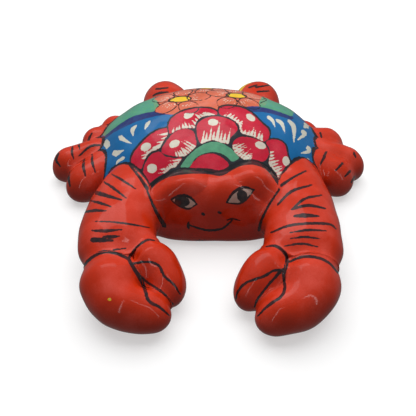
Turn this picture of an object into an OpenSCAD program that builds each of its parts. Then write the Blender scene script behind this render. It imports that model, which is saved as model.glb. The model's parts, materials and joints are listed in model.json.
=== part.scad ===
// Glazed earthenware crab, hand painted, made as hollow pods of clay luted together before firing.
// The face and claws point along -Y, Z is up and the floor is Z = 0.
// Left and right are as seen from in front of the face, so the left arm and legs lie at -X.

/* [Clay] */
// Thickness of the clay wall of every hollow piece
wall = 5; // [3.5:0.5:7]
// Gap left at each joint line between two luted pieces
seam = 0.2; // [0.1:0.05:0.4]
// Radius that rolls the shell in under its lower edge
foot_roll = 8; // [4:1:12]

/* [Shell] */
// Half the width of the shell at its widest
shell_half_w = 107; // [98:1:112]
// Reach of the shell from its middle towards the face
shell_front = 108; // [100:1:114]
// Reach of the shell from its middle towards the rear
shell_back = 77; // [68:1:86]
// Height of the crown of the shell
shell_h = 66; // [56:1:76]
// How far the middle of the shell lies behind the origin
shell_middle_y = 50; // [44:1:56]

/* [Base] */
// Thickness of the flat plate that closes the underside
plate_t = 5; // [3:0.5:8]
// Diameter of the vent hole in the middle of the underside
vent_d = 12; // [8:1:20]

/* [Head] */
// Half the width of the face
face_half_w = 53; // [48:1:58]
// Height of the brow above the floor
brow_h = 50; // [45:1:55]
// Reach of the chin beyond the middle of the face
chin_reach = 22; // [18:1:27]

/* [Arms] */
// Half the width of an arm at its elbow
arm_half_w = 32; // [28:1:36]
// Half the height of an arm at its elbow
arm_half_h = 22; // [19:1:25]

/* [Claws] */
// Half the width of the big outer finger at its knuckle
finger_half_w = 26; // [23:1:29]
// Half the width of the small inner finger at its knuckle
thumb_half_w = 20; // [16:1:22]
// Half the height of both fingers
finger_half_h = 21; // [18:1:24]

/* [Legs] */
// Half the width of the front leg, the others being slimmer
leg_half_w = 17; // [14:1:19]
// Half the height of the front leg
leg_half_h = 17; // [14:1:19]
// Half the width of a rear paddle
paddle_half_w = 24; // [20:1:27]

/* [Hidden] */
// Names of all the pieces

// Sides of the cross-section of an arm or finger, of a leg, and of the hollows in them
limb_sides = 18;
leg_sides = 14;
hollow_sides = 10;
// Sides of the shell's outline
shell_sides = 40;
// Diameter of the air hole between the hollow of a finger and that of its arm
air_hole_d = 6;
// Where a rounded end stops in a small flat, as a share of its radius
tip_flat = 0.005;
// Larger than the whole figure, for the block that trims what lies under the floor
reach = 400;

// Glaze colours
red_glaze = [0.78, 0.16, 0.10];
blue_glaze = [0.08, 0.42, 0.68];
clay = [0.72, 0.42, 0.30];

// Mounds are listed as [middle x, middle y, half width, front, back, height, corner power]
shell_mound = [1, shell_middle_y, shell_half_w, shell_front, shell_back, shell_h, 2];
face_mound = [5, -37, face_half_w, chin_reach, 28, brow_h, 2.8];
low_brow = [-15, -38, 37, 17, 34, brow_h + 3, 2.4];
high_brow = [35, -32, 26, 17, 39, brow_h + 5, 2.3];

// The sides of the shell, from which the limbs keep their distance
left_side = shell_mound[0] - shell_half_w;
right_side = shell_mound[0] + shell_half_w;
// Height of the middle of an arm, so that its underside just meets the floor
arm_z = arm_half_h;
// How far an arm arches clear of the floor between the shell and its elbow
arm_arch = 2;
// Height of the middle of a finger at its knuckle, which is trimmed a little flat underneath
knuckle_z = finger_half_h - 1;

// Limbs are listed as [spine points, half widths, half heights], from the root to the tip.
// The x of a spine point is written as its distance out from the side of the shell.
left_arm_limb = [
    beside(left_side, -1, [
        [-50, 10, arm_z - 2], [-35, -30, arm_z + arm_arch], [-32, -66, arm_z], [-39, -110, arm_z - 2]
    ]),
    [22, 28, arm_half_w, arm_half_w - 2],
    [arm_half_h - 2, arm_half_h, arm_half_h, arm_half_h - 1]
];
right_arm_limb = [
    beside(right_side, 1, [
        [-38, 12, arm_z - 2], [-29, -38, arm_z + arm_arch], [-33, -76, arm_z], [-40, -112, arm_z - 2]
    ]),
    [22, 28, arm_half_w, arm_half_w - 2],
    [arm_half_h - 2, arm_half_h, arm_half_h, arm_half_h - 1]
];
left_finger_limb = [
    beside(left_side, -1, [
        [-35, -102, knuckle_z], [-32, -136, knuckle_z - 1], [-50, -150, 16], [-80, -141, 13]
    ]),
    [finger_half_w, finger_half_w / 2],
    [finger_half_h, finger_half_h, 17, 13]
];
left_thumb_limb = [
    beside(left_side, -1, [
        [-54, -98, knuckle_z], [-68, -100, knuckle_z - 1], [-75, -117, 16], [-82, -134, 13]
    ]),
    [thumb_half_w, thumb_half_w, thumb_half_w / 2],
    [finger_half_h, finger_half_h, 17, 12]
];
right_finger_limb = [
    beside(right_side, 1, [
        [-35, -103, knuckle_z], [-29, -134, knuckle_z - 1], [-46, -149, 16], [-75, -147, 13]
    ]),
    [finger_half_w, finger_half_w / 2],
    [finger_half_h, finger_half_h, 17, 13]
];
right_thumb_limb = [
    beside(right_side, 1, [
        [-52, -106, knuckle_z], [-66, -108, knuckle_z - 1], [-76, -122, 16], [-82, -137, 13]
    ]),
    [thumb_half_w, thumb_half_w, thumb_half_w / 2],
    [finger_half_h, finger_half_h, 17, 12]
];

// Legs stand in order from the front, each a fat lobe whose tip rests on the floor
left_leg_limbs = [
    leg_limb(left_side, -1, [[-36, 34, 18], [-14, 20, 17], [14, -6, 11]], 1, 1),
    leg_limb(left_side, -1, [[-32, 44, 18], [0, 43, 17], [33, 26, 11]], 0.9, 0.95),
    leg_limb(left_side, -1, [[-40, 58, 18], [-14, 64, 17], [12, 68, 13]], 0.85, 0.9),
    leg_limb(left_side, -1, [[-52, 68, 19], [-32, 78, 18], [-3, 87, 15]], 0.85, 0.9)
];
right_leg_limbs = [
    leg_limb(right_side, 1, [[-30, 30, 18], [-10, 22, 17], [18, 4, 11]], 1, 1),
    leg_limb(right_side, 1, [[-28, 42, 18], [0, 42, 17], [31, 26, 12]], 0.9, 0.95),
    leg_limb(right_side, 1, [[-34, 52, 18], [-10, 60, 17], [18, 60, 14]], 0.95, 1),
    leg_limb(right_side, 1, [[-52, 70, 15], [-32, 79, 14], [-2, 86, 11]], 0.8, 0.8)
];
left_paddle_limb = [
    [[-30, 92, 15], [-38, 112, 15], [-48, 161, 13]],
    [18, paddle_half_w, paddle_half_w],
    [19, 25, 24]
];
right_paddle_limb = [
    [[36, 92, 15], [46, 112, 15], [54, 161, 13]],
    [18, paddle_half_w, paddle_half_w],
    [19, 25, 24]
];

// Puts spine points in place, given the side of the shell and which way is outwards
function beside(shell_side, outwards, spine) =
    [for (point = spine) [shell_side + outwards * point[0], point[1], point[2]]];

function leg_limb(shell_side, outwards, spine, width_share, height_share) = [
    beside(shell_side, outwards, spine),
    [leg_half_w * width_share, leg_half_w * width_share],
    [leg_half_h, leg_half_h * height_share, leg_half_h * height_share]
];

// Point at t on the curve that a list of control points draws
function curve(points, t) = len(points) == 1
    ? points[0]
    : curve([for (i = [0:len(points) - 2]) points[i] * (1 - t) + points[i + 1] * t], t);

// Direction of that curve at t, as a compass angle in the floor plane
function heading(points, t) =
    let (step = curve([for (i = [0:len(points) - 2]) points[i + 1] - points[i]], t))
    atan2(step[1], step[0]);

// Length of the line that joins the control points, near enough that of the curve
function spine_length(points) = len(points) < 2
    ? 0
    : norm(points[1] - points[0]) + spine_length([for (i = [1:len(points) - 1]) points[i]]);

// Share of its full size that a limb has at a distance from its rounded end
function round_end(distance, radius) =
    sqrt(1 - pow(1 - min(1, max(tip_flat, distance / radius)), 2));

// One cross-section of a limb, an oval that stands square to the spine
function limb_ring(limb, t, grow, sides, knuckle) =
    let (
        spine = limb[0],
        length = spine_length(spine),
        along = t * (1 + grow / length),
        middle = curve(spine, along),
        side = heading(spine, along) + 90,
        half_w = curve(limb[1], t) + grow,
        half_h = curve(limb[2], t) + grow,
        root_share = knuckle ? round_end(t * length + half_w / 6, half_w) : 1,
        share = root_share * round_end((1 - t) * length, half_w)
    )
    [for (i = [0:sides - 1])
        let (a = 360 * i / sides, w = half_w * share * cos(a), h = half_h * share * sin(a))
        middle + [w * cos(side), w * sin(side), h]];

// One level outline of a mound at height z
function mound_ring(mound, z, grow, sides) =
    let (
        top = mound[5] + grow,
        rise = min(1, z / top),
        share = pow(1 - pow(rise, 2), 1 / 2.4),
        rolled = z < foot_roll ? foot_roll * (1 - sqrt(1 - pow(1 - z / foot_roll, 2))) : 0,
        inset = grow - rolled
    )
    [for (i = [0:sides - 1])
        let (a = 360 * i / sides)
        [mound[0], mound[1], 0] + mound_point(mound, a, inset, share) + [0, 0, z]];

// Point of a mound's outline in the direction a, drawn in by share
function mound_point(mound, a, inset, share) =
    let (power = 2 / mound[6], depth = sin(a) < 0 ? mound[3] : mound[4])
    [
        (mound[2] + inset) * share * sign(cos(a)) * pow(abs(cos(a)), power),
        (depth + inset) * share * sign(sin(a)) * pow(abs(sin(a)), power),
        0
    ];

// Skin over a row of cross-sections, each pair of neighbours closed up by its own hull
module skin(rings) {
    sides = len(rings[0]);
    for (i = [0:len(rings) - 2]) {
        hull() {
            polyhedron(
                points = concat(rings[i], rings[i + 1]),
                faces = concat(
                    [[for (k = [0:sides - 1]) k]],
                    [[for (k = [sides - 1:-1:0]) sides + k]],
                    [for (k = [0:sides - 1]) [k, sides + k, sides + (k + 1) % sides, (k + 1) % sides]]
                )
            );
        }
    }
}

// One closed skin round a row of cross-sections, in triangles, with a flat cap at each end
module loft(rings) {
    sides = len(rings[0]);
    last = len(rings) - 1;
    polyhedron(
        points = [for (ring = rings) each ring],
        faces = concat(
            [[for (k = [0:sides - 1]) k]],
            [[for (k = [sides - 1:-1:0]) last * sides + k]],
            [for (i = [0:last - 1]) for (k = [0:sides - 1])
                [i * sides + k, (i + 1) * sides + k, (i + 1) * sides + (k + 1) % sides]],
            [for (i = [0:last - 1]) for (k = [0:sides - 1])
                [i * sides + k, (i + 1) * sides + (k + 1) % sides, i * sides + (k + 1) % sides]]
        )
    );
}

// A limb from root to rounded tip, kept above a level
module limb_form(limb, grow = 0, level = 0, steps = 10, sides = limb_sides) {
    intersection() {
        loft([for (i = [0:steps]) limb_ring(limb, sin(90 * i / steps), grow, sides, false)]);
        above(level);
    }
}

// A finger is rounded at its knuckle as well as at its tip
module finger_form(limb, grow = 0, level = 0, steps = 11, sides = limb_sides) {
    intersection() {
        loft([for (i = [0:steps])
            limb_ring(limb, (1 - cos(180 * i / steps)) / 2, grow, sides, true)]);
        above(level);
    }
}

// A mound, from the floor to its crown
module mound_form(mound, grow = 0, steps = 10, sides = shell_sides) {
    top = mound[5] + grow;
    skin([for (i = [0:steps]) mound_ring(mound, top * sin(90 * i / steps), grow, sides)]);
}

// Everything above a level
module above(level) {
    translate([-reach / 2, -reach / 2, level]) {
        cube([reach, reach, reach]);
    }
}

// The flat outline of the opening in the underside, shrunk by gap
module floor_outline(gap = 0) {
    polygon([for (i = [0:shell_sides - 1])
        let (p = mound_point(shell_mound, 360 * i / shell_sides, -wall - foot_roll - gap, 1))
        [shell_mound[0] + p[0], shell_mound[1] + p[1]]]);
}

// The one hollow inside the shell and the head, open through the underside
module body_hollow() {
    intersection() {
        mound_form(shell_mound, -wall, 8, 32);
        above(plate_t);
    }
    translate([0, 0, -1]) {
        linear_extrude(plate_t + 2) {
            floor_outline();
        }
    }
}

// Outer form of the head: the face and its two brows, one standing higher than the other
module head_form(grow = 0) {
    mound_form(face_mound, grow, 8, 28);
    mound_form(low_brow, grow, 8, 24);
    mound_form(high_brow, grow, 8, 24);
}

// The hollow inside a limb, open at the root
module limb_hollow(limb) {
    limb_form(limb, -wall, wall, 6, hollow_sides);
}

// An arm, with the room for its two fingers and the body's hollow taken out of it
module arm(limb, finger_limb, thumb_limb) {
    difference() {
        limb_form(limb);
        limb_hollow(limb);
        finger_form(finger_limb, seam);
        finger_form(thumb_limb, seam);
        body_hollow();
    }
}

// The hollow inside a finger, with the vent through its knuckle that lets air out in the kiln
module finger_hollow(limb) {
    root = limb[0][0];
    next = limb[0][1];
    finger_form(limb, -wall, wall, 8, hollow_sides);
    translate([root[0], root[1], root[2]]) {
        rotate([0, 0, atan2(next[1] - root[1], next[0] - root[0])]) {
            rotate([0, 90, 0]) {
                cylinder(h = 4 * air_hole_d, d = air_hole_d, center = true, $fn = 8);
            }
        }
    }
}

// The big finger of a claw
module finger(limb) {
    difference() {
        finger_form(limb);
        finger_hollow(limb);
    }
}

// The small finger lies against the big one
module thumb(limb, finger_limb) {
    difference() {
        finger_form(limb);
        finger_hollow(limb);
        finger_form(finger_limb, seam);
    }
}

// A leg, seated on the shell and on the leg or arm in front of it
module leg(limbs, index, arm_limb) {
    difference() {
        limb_form(limbs[index], 0, 0, 8, leg_sides);
        limb_hollow(limbs[index]);
        mound_form(shell_mound, seam);
        if (index == 0) limb_form(arm_limb, seam);
        if (index > 0) limb_form(limbs[index - 1], seam, 0, 8, leg_sides);
    }
}

// A rear paddle, seated on the shell
module paddle(limb) {
    difference() {
        limb_form(limb);
        limb_hollow(limb);
        mound_form(shell_mound, seam);
    }
}

module carapace() {
    color(blue_glaze) {
        difference() {
            mound_form(shell_mound);
            body_hollow();
            head_form(seam);
            limb_form(left_arm_limb, seam);
            limb_form(right_arm_limb, seam);
        }
    }
}

module base_plate() {
    color(clay) {
        difference() {
            linear_extrude(plate_t) {
                floor_outline(seam);
            }
            translate([shell_mound[0], shell_mound[1], -1]) {
                cylinder(h = plate_t + 2, d = vent_d, $fn = 48);
            }
        }
    }
}

module head() {
    color(red_glaze) {
        difference() {
            head_form();
            body_hollow();
            limb_form(left_arm_limb, seam);
            limb_form(right_arm_limb, seam);
        }
    }
}

module left_arm() {
    color(red_glaze) arm(left_arm_limb, left_finger_limb, left_thumb_limb);
}

module right_arm() {
    color(red_glaze) arm(right_arm_limb, right_finger_limb, right_thumb_limb);
}

module left_claw_finger() {
    color(red_glaze) finger(left_finger_limb);
}

module left_claw_thumb() {
    color(red_glaze) thumb(left_thumb_limb, left_finger_limb);
}

module right_claw_finger() {
    color(red_glaze) finger(right_finger_limb);
}

module right_claw_thumb() {
    color(red_glaze) thumb(right_thumb_limb, right_finger_limb);
}

module left_leg(index) {
    color(red_glaze) leg(left_leg_limbs, index, left_arm_limb);
}

module right_leg(index) {
    color(red_glaze) leg(right_leg_limbs, index, right_arm_limb);
}

module left_paddle() {
    color(red_glaze) paddle(left_paddle_limb);
}

module right_paddle() {
    color(red_glaze) paddle(right_paddle_limb);
}

carapace();
base_plate();
head();
left_arm();
right_arm();
left_claw_finger();
left_claw_thumb();
right_claw_finger();
right_claw_thumb();
left_leg(0);  // left_leg_1
left_leg(1);  // left_leg_2
left_leg(2);  // left_leg_3
left_leg(3);  // left_leg_4
right_leg(0);  // right_leg_1
right_leg(1);  // right_leg_2
right_leg(2);  // right_leg_3
right_leg(3);  // right_leg_4
left_paddle();
right_paddle();
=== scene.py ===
# %% [markdown]
# A glazed earthenware crab, hand painted.
# The real one is made from pods of soft clay. Each pod is pressed hollow, stuck to its neighbour with
# liquid clay, and the joint is wiped smooth with a wet finger. After a first firing a painter lays on
# flowers in flat colours with black outlines, and a clear glaze seals it all under glass.
# This lesson follows the same order: pods, wiped joints, paint, glaze, and then the studio.

# %% Load the solid model that everything stands on
import json
import math

import bpy
import numpy as np
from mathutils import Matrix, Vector
from mathutils.bvhtree import BVHTree

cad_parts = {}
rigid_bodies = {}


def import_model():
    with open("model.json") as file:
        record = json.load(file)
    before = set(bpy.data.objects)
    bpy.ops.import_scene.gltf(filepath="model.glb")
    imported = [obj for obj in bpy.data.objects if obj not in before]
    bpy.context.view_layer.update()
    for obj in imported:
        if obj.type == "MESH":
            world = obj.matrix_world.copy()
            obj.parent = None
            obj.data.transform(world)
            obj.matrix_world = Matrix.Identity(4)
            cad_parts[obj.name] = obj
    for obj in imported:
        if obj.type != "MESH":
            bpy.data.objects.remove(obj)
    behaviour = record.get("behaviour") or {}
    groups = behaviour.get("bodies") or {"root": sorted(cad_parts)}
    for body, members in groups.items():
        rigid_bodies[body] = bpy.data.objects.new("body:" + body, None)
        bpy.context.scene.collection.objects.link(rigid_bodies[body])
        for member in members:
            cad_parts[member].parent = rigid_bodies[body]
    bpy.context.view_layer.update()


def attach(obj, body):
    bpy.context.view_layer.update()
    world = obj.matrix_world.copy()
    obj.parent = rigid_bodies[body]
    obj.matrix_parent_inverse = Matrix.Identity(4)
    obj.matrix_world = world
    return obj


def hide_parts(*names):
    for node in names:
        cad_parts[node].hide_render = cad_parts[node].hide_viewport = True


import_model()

MM = 0.001

# %% [markdown]
# The camera comes first, because the painter's lines are placed through it later.
# The photograph looks down at the crab from in front, forty degrees above the table, from about
# 600 mm away. A lens of 60 mm on a square 36 mm frame gives the same size in the picture.

# %% Camera
PICTURE = 416
SENSOR = 36.0
LENS = 59.97
AIM = Vector((0.0, -0.012, 0.0))
DISTANCE = 0.6
ELEVATION = math.radians(40)

camera_data = bpy.data.cameras.new("camera")
camera_data.lens = LENS
camera_data.sensor_width = SENSOR
camera = bpy.data.objects.new("camera", camera_data)
bpy.context.scene.collection.objects.link(camera)
camera.location = AIM + DISTANCE * Vector((0.0, -math.cos(ELEVATION), math.sin(ELEVATION)))
camera.rotation_euler = (AIM - camera.location).to_track_quat("-Z", "Y").to_euler()
bpy.context.scene.camera = camera
bpy.context.view_layer.update()
print("camera at", [round(c, 3) for c in camera.location])

# %% [markdown]
# Sixteen of the pods are limbs: arms, fingers, legs and paddles. Each is a fat sausage of clay pulled
# along a short bend. Sixteen cylinders could be bent one by one, but a change of mind would then cost
# sixteen repairs. One Geometry Nodes tree makes them all: it wraps a flat grid round a curve with four
# control points, and swells it to a width and a height that change along the way.

# %% Small helpers for building node trees
def add(tree, kind, inputs=None, output=0, **options):
    """Adds a node, sets its options, feeds its inputs and returns one of its outputs."""
    node = tree.nodes.new(kind)
    for name, value in options.items():
        setattr(node, name, value)
    for key, value in (inputs or {}).items():
        if isinstance(value, bpy.types.NodeSocket):
            tree.links.new(value, node.inputs[key])
        else:
            node.inputs[key].default_value = value
    return node.outputs[output]


def calc(tree, operation, *values):
    """One step of arithmetic on numbers."""
    return add(tree, "ShaderNodeMath", dict(enumerate(values)), operation=operation)


def blend_vectors(tree, factor, a, b):
    """The point between a and b at factor."""
    return add(tree, "ShaderNodeMix", {0: factor, 4: a, 5: b}, output=1, data_type="VECTOR")


def four_point_curve(tree, factor, points):
    """The point at factor on the curve of four control points, and the two points that it lies between."""
    while len(points) > 2:
        points = [blend_vectors(tree, factor, a, b) for a, b in zip(points, points[1:])]
    return blend_vectors(tree, factor, *points), points


def rounded_end(tree, distance, radius):
    """Grows from nought to one over a radius, like a quarter circle."""
    reached = calc(tree, "MINIMUM", 1.0, calc(tree, "DIVIDE", distance, radius))
    short = calc(tree, "SUBTRACT", 1.0, reached)
    room = calc(tree, "MAXIMUM", 0.0, calc(tree, "SUBTRACT", 1.0, calc(tree, "MULTIPLY", short, short)))
    return calc(tree, "SQRT", room)


def pressed_flat(tree, point, softness):
    """A wet foot spreads on the board: what would lie under it is pressed flat, with a soft edge."""
    parts = add(tree, "ShaderNodeSeparateXYZ", {0: point}).node.outputs
    square = calc(tree, "ADD", calc(tree, "MULTIPLY", parts[2], parts[2]),
                  calc(tree, "MULTIPLY", softness, softness))
    height = calc(tree, "MULTIPLY", calc(tree, "ADD", parts[2], calc(tree, "SQRT", square)), 0.5)
    return add(tree, "ShaderNodeCombineXYZ", {0: parts[0], 1: parts[1], 2: height})

print("node helpers ready")

# %% The tree that pulls one limb
def build_limb_tree():
    tree = bpy.data.node_groups.new("pulled_limb", "GeometryNodeTree")
    face = tree.interface
    face.new_socket("Limb", in_out="OUTPUT", socket_type="NodeSocketGeometry")
    for name, kind in [
        ("Rings", "Int"), ("Sides", "Int"), ("Length", "Float"), ("Root Rounding", "Float"),
        ("Foot Softness", "Float"), ("Clay", "Material"),
    ] + [(f"Spine {i}", "Vector") for i in range(4)] + [(f"Swell {i}", "Vector") for i in range(4)]:
        face.new_socket(name, in_out="INPUT", socket_type="NodeSocket" + kind)
    given = tree.nodes.new("NodeGroupInput").outputs
    grid = add(tree, "GeometryNodeMeshGrid", {2: given["Rings"], 3: given["Sides"]})
    place = add(tree, "GeometryNodeInputPosition")
    place_parts = add(tree, "ShaderNodeSeparateXYZ", {0: place}).node.outputs
    along = calc(tree, "ADD", place_parts[0], 0.5)
    turn = calc(tree, "MULTIPLY", calc(tree, "ADD", place_parts[1], 0.5), math.tau)
    # Rings crowd towards both ends, where the limb rounds off fastest
    eased = calc(tree, "MULTIPLY", calc(tree, "SUBTRACT", 1.0, calc(tree, "COSINE",
                 calc(tree, "MULTIPLY", along, math.pi))), 0.5)
    middle, pair = four_point_curve(tree, eased, [given[f"Spine {i}"] for i in range(4)])
    swell, _ = four_point_curve(tree, eased, [given[f"Swell {i}"] for i in range(4)])
    swell_parts = add(tree, "ShaderNodeSeparateXYZ", {0: swell}).node.outputs
    ahead = add(tree, "ShaderNodeVectorMath", {0: pair[1], 1: pair[0]}, operation="SUBTRACT")
    across = add(tree, "ShaderNodeVectorMath", {0: (0.0, 0.0, 1.0), 1: ahead}, operation="CROSS_PRODUCT")
    side = add(tree, "ShaderNodeVectorMath", {0: across}, operation="NORMALIZE")
    # Each end closes like a quarter circle: the root over its own distance, the tip over its width
    gone = calc(tree, "MULTIPLY", eased, given["Length"])
    left = calc(tree, "SUBTRACT", given["Length"], gone)
    share = calc(tree, "MULTIPLY", rounded_end(tree, gone, given["Root Rounding"]),
                 rounded_end(tree, left, swell_parts[0]))
    out = calc(tree, "MULTIPLY", calc(tree, "MULTIPLY", swell_parts[0], share), calc(tree, "COSINE", turn))
    rise = calc(tree, "MULTIPLY", calc(tree, "MULTIPLY", swell_parts[1], share), calc(tree, "SINE", turn))
    sideways = add(tree, "ShaderNodeVectorMath", {0: side, "Scale": out}, operation="SCALE")
    upwards = add(tree, "ShaderNodeCombineXYZ", {2: rise})
    point = add(tree, "ShaderNodeVectorMath", {0: middle, 1: sideways}, operation="ADD")
    point = add(tree, "ShaderNodeVectorMath", {0: point, 1: upwards}, operation="ADD")
    pressed = pressed_flat(tree, point, given["Foot Softness"])
    moved = add(tree, "GeometryNodeSetPosition", {"Geometry": grid, "Position": pressed})
    closed = add(tree, "GeometryNodeMergeByDistance", {"Geometry": moved, "Distance": 0.01})
    outward = add(tree, "GeometryNodeFlipFaces", {"Mesh": closed})
    smooth = add(tree, "GeometryNodeSetShadeSmooth", {"Geometry": outward})
    real = add(tree, "GeometryNodeRealizeInstances", {"Geometry": smooth})
    dressed = add(tree, "GeometryNodeSetMaterial", {"Geometry": real, "Material": given["Clay"]})
    tree.links.new(dressed, tree.nodes.new("NodeGroupOutput").inputs["Limb"])
    return tree

limb_tree = build_limb_tree()
print("limb tree with", len(limb_tree.nodes), "nodes")

# %% [markdown]
# The sizes are those of the solid model, in millimetres, so that each limb fills its solid.
# A leg's curve has three points, and its widths have two. They are raised to four without a change
# of shape, because the tree always takes four.

# %% Sizes of the sixteen limbs
def arm(spine):
    return spine, [22, 28, 32, 30], [20, 22, 22, 21]


def finger(spine):
    return spine, [26, 13], [21, 21, 17, 13]


def thumb(spine):
    return spine, [20, 20, 10], [21, 21, 17, 12]


def leg(spine, wide=1.0, tall=1.0):
    return spine, [17 * wide, 17 * wide], [17, 17 * tall, 17 * tall]


def paddle(spine):
    return spine, [18, 24, 24], [19, 25, 24]

LIMBS = {
    "left_arm": arm([(-56, 10, 20), (-71, -30, 24), (-74, -66, 22), (-67, -110, 20)]),
    "right_arm": arm([(70, 12, 20), (79, -38, 24), (75, -76, 22), (68, -112, 20)]),
    "left_claw_finger": finger([(-71, -102, 20), (-74, -136, 19), (-56, -150, 16), (-26, -141, 13)]),
    "right_claw_finger": finger([(73, -103, 20), (79, -134, 19), (62, -149, 16), (33, -147, 13)]),
    "left_claw_thumb": thumb([(-52, -98, 20), (-38, -100, 19), (-31, -117, 16), (-24, -134, 13)]),
    "right_claw_thumb": thumb([(56, -106, 20), (42, -108, 19), (32, -122, 16), (26, -137, 13)]),
    "left_leg_1": leg([(-70, 34, 18), (-92, 20, 17), (-120, -6, 11)]),
    "left_leg_2": leg([(-74, 44, 18), (-106, 43, 17), (-139, 26, 11)], 0.9, 0.95),
    "left_leg_3": leg([(-66, 58, 18), (-92, 64, 17), (-118, 68, 13)], 0.85, 0.9),
    "left_leg_4": leg([(-54, 68, 19), (-74, 78, 18), (-103, 87, 15)], 0.85, 0.9),
    "right_leg_1": leg([(78, 30, 18), (98, 22, 17), (126, 4, 11)]),
    "right_leg_2": leg([(80, 42, 18), (108, 42, 17), (139, 26, 12)], 0.9, 0.95),
    "right_leg_3": leg([(74, 52, 18), (98, 60, 17), (126, 60, 14)], 0.95, 1.0),
    "right_leg_4": leg([(56, 70, 15), (76, 79, 14), (106, 86, 11)], 0.8, 0.8),
    "left_paddle": paddle([(-30, 92, 15), (-38, 112, 15), (-48, 161, 13)]),
    "right_paddle": paddle([(36, 92, 15), (46, 112, 15), (54, 161, 13)]),
}
print(len(LIMBS), "limbs have sizes")

# %% [markdown]
# Pulling a limb means handing its sizes to the tree. A throwaway object carries the tree, the result
# is copied out as a plain mesh, and the object is removed again.

# %% Pull the limbs
FINENESS = 1.0
ROOT_ROUNDING = 6.0
# A claw starts rounder than other limbs, over this share of its width
CLAW_ROOT_SHARE = 0.83
FOOT_SOFTNESS = 1.2
FACES_PER_MM = 1.15
FEWEST_FACES = 16


def four(values):
    """Raises a curve's control values to four without changing its shape."""
    values = [np.array(v, float) for v in values]
    while len(values) < 4:
        n = len(values)
        inner = [(i * values[i - 1] + (n - i) * values[i]) / n for i in range(1, n)]
        values = [values[0]] + inner + [values[-1]]
    return values


def pull_limb(name):
    """Runs the tree for one limb and returns its plain mesh, in millimetres, as points and faces."""
    spine, widths, heights = LIMBS[name]
    length = sum(math.dist(a, b) for a, b in zip(spine, spine[1:]))
    girth = math.pi * (max(widths) + max(heights))
    settings = {
        "Rings": int(length * FACES_PER_MM * FINENESS) + FEWEST_FACES,
        "Sides": int(girth * FACES_PER_MM * FINENESS) + FEWEST_FACES,
        "Length": length,
        "Root Rounding": CLAW_ROOT_SHARE * widths[0] if "claw" in name else ROOT_ROUNDING,
        "Foot Softness": FOOT_SOFTNESS,
    }
    for i, (point, wide, tall) in enumerate(zip(four(spine), four(widths), four(heights))):
        settings[f"Spine {i}"] = tuple(point)
        settings[f"Swell {i}"] = (float(wide), float(tall), 0.0)
    mesh = bpy.data.meshes.new(name)
    worker = bpy.data.objects.new(name + "_worker", mesh)
    bpy.context.scene.collection.objects.link(worker)
    modifier = worker.modifiers.new("pull", "NODES")
    modifier.node_group = limb_tree
    sockets = {s.name: s.identifier for s in limb_tree.interface.items_tree if s.in_out == "INPUT"}
    for key, value in settings.items():
        modifier[sockets[key]] = value
    graph = bpy.context.evaluated_depsgraph_get()
    shaped = bpy.data.meshes.new_from_object(worker.evaluated_get(graph))
    points = np.empty(len(shaped.vertices) * 3)
    shaped.vertices.foreach_get("co", points)
    faces = [tuple(f.vertices) for f in shaped.polygons]
    bpy.data.objects.remove(worker)
    return points.reshape(-1, 3), faces

limb_shapes = {name: pull_limb(name) for name in LIMBS}
print(sum(len(f) for _, f in limb_shapes.values()), "faces in", len(limb_shapes), "limbs")

# %% [markdown]
# The shell and the head are mounds: low domes that are pressed over a form. A mound is narrower
# towards its crown and rolls in under its lower edge. It is written once as a rule, which gives both
# the points of its skin and the distance of any other point from that skin.

# %% The two kinds of mound
SHELL = {"middle": (1, 50), "half_w": 107, "front": 108, "back": 77, "top": 66, "corner": 2.0}
FACE = {"middle": (5, -37), "half_w": 53, "front": 22, "back": 28, "top": 50, "corner": 2.8}
LOW_BROW = {"middle": (-15, -38), "half_w": 37, "front": 17, "back": 34, "top": 53, "corner": 2.4}
HIGH_BROW = {"middle": (35, -32), "half_w": 26, "front": 17, "back": 39, "top": 55, "corner": 2.3}
DOME_POWER = 2.4
FOOT_ROLL = 8.0
WALL = 5.0
PLATE = 5.0


def foot_inset(z):
    """How far a mound is drawn in at height z, under its rolled edge."""
    depth = np.clip(1 - z / FOOT_ROLL, 0, 1)
    return FOOT_ROLL * (1 - np.sqrt(1 - depth ** 2))


def mound_ring(mound, z, grow, turns, share=None):
    """One level outline of a mound."""
    if share is None:
        share = (1 - min(1.0, z / (mound["top"] + grow)) ** 2) ** (1 / DOME_POWER)
    inset = grow - float(foot_inset(z))
    depth = np.where(np.sin(turns) < 0, mound["front"], mound["back"])
    bend = 2 / mound["corner"]
    x = (mound["half_w"] + inset) * share * np.sign(np.cos(turns)) * np.abs(np.cos(turns)) ** bend
    y = (depth + inset) * share * np.sign(np.sin(turns)) * np.abs(np.sin(turns)) ** bend
    return np.stack([mound["middle"][0] + x, mound["middle"][1] + y, np.full_like(x, z)], 1)


def mound_gap(mound, points):
    """Distance of points from a mound's skin, less than nought inside, and the way out of it."""
    def level(p):
        x = np.abs(p[:, 0] - mound["middle"][0]) / mound["half_w"]
        y = p[:, 1] - mound["middle"][1]
        y = np.abs(y) / np.where(y < 0, mound["front"], mound["back"])
        across = (x ** mound["corner"] + y ** mound["corner"] + 1e-12) ** (DOME_POWER / mound["corner"])
        return np.sqrt(across + (p[:, 2] / mound["top"]) ** 2) - 1
    step = 0.05
    slope = np.stack([(level(points + d) - level(points - d)) / (2 * step) for d in np.eye(3) * step], 1)
    steepness = np.maximum(np.linalg.norm(slope, axis=1), 1e-9)
    return level(points) / steepness, slope / steepness[:, None]


def knead(a, b, soft):
    """Blends two distances with their ways out.
    Only a crease is filled, not two skins that run side by side."""
    (gap_a, out_a), (gap_b, out_b) = a, b
    crease = np.clip(1 - np.sum(out_a * out_b, axis=1), 0, 1)
    h = np.clip(soft - np.abs(gap_a - gap_b), 0, None) / soft
    share = np.where(gap_a < gap_b, 1 - h / 2, h / 2)[:, None]
    out = out_a * share + out_b * (1 - share)
    return np.minimum(gap_a, gap_b) - crease * h * h * soft / 4, out

print("mounds ready, crown at", SHELL["top"], "mm")

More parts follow.
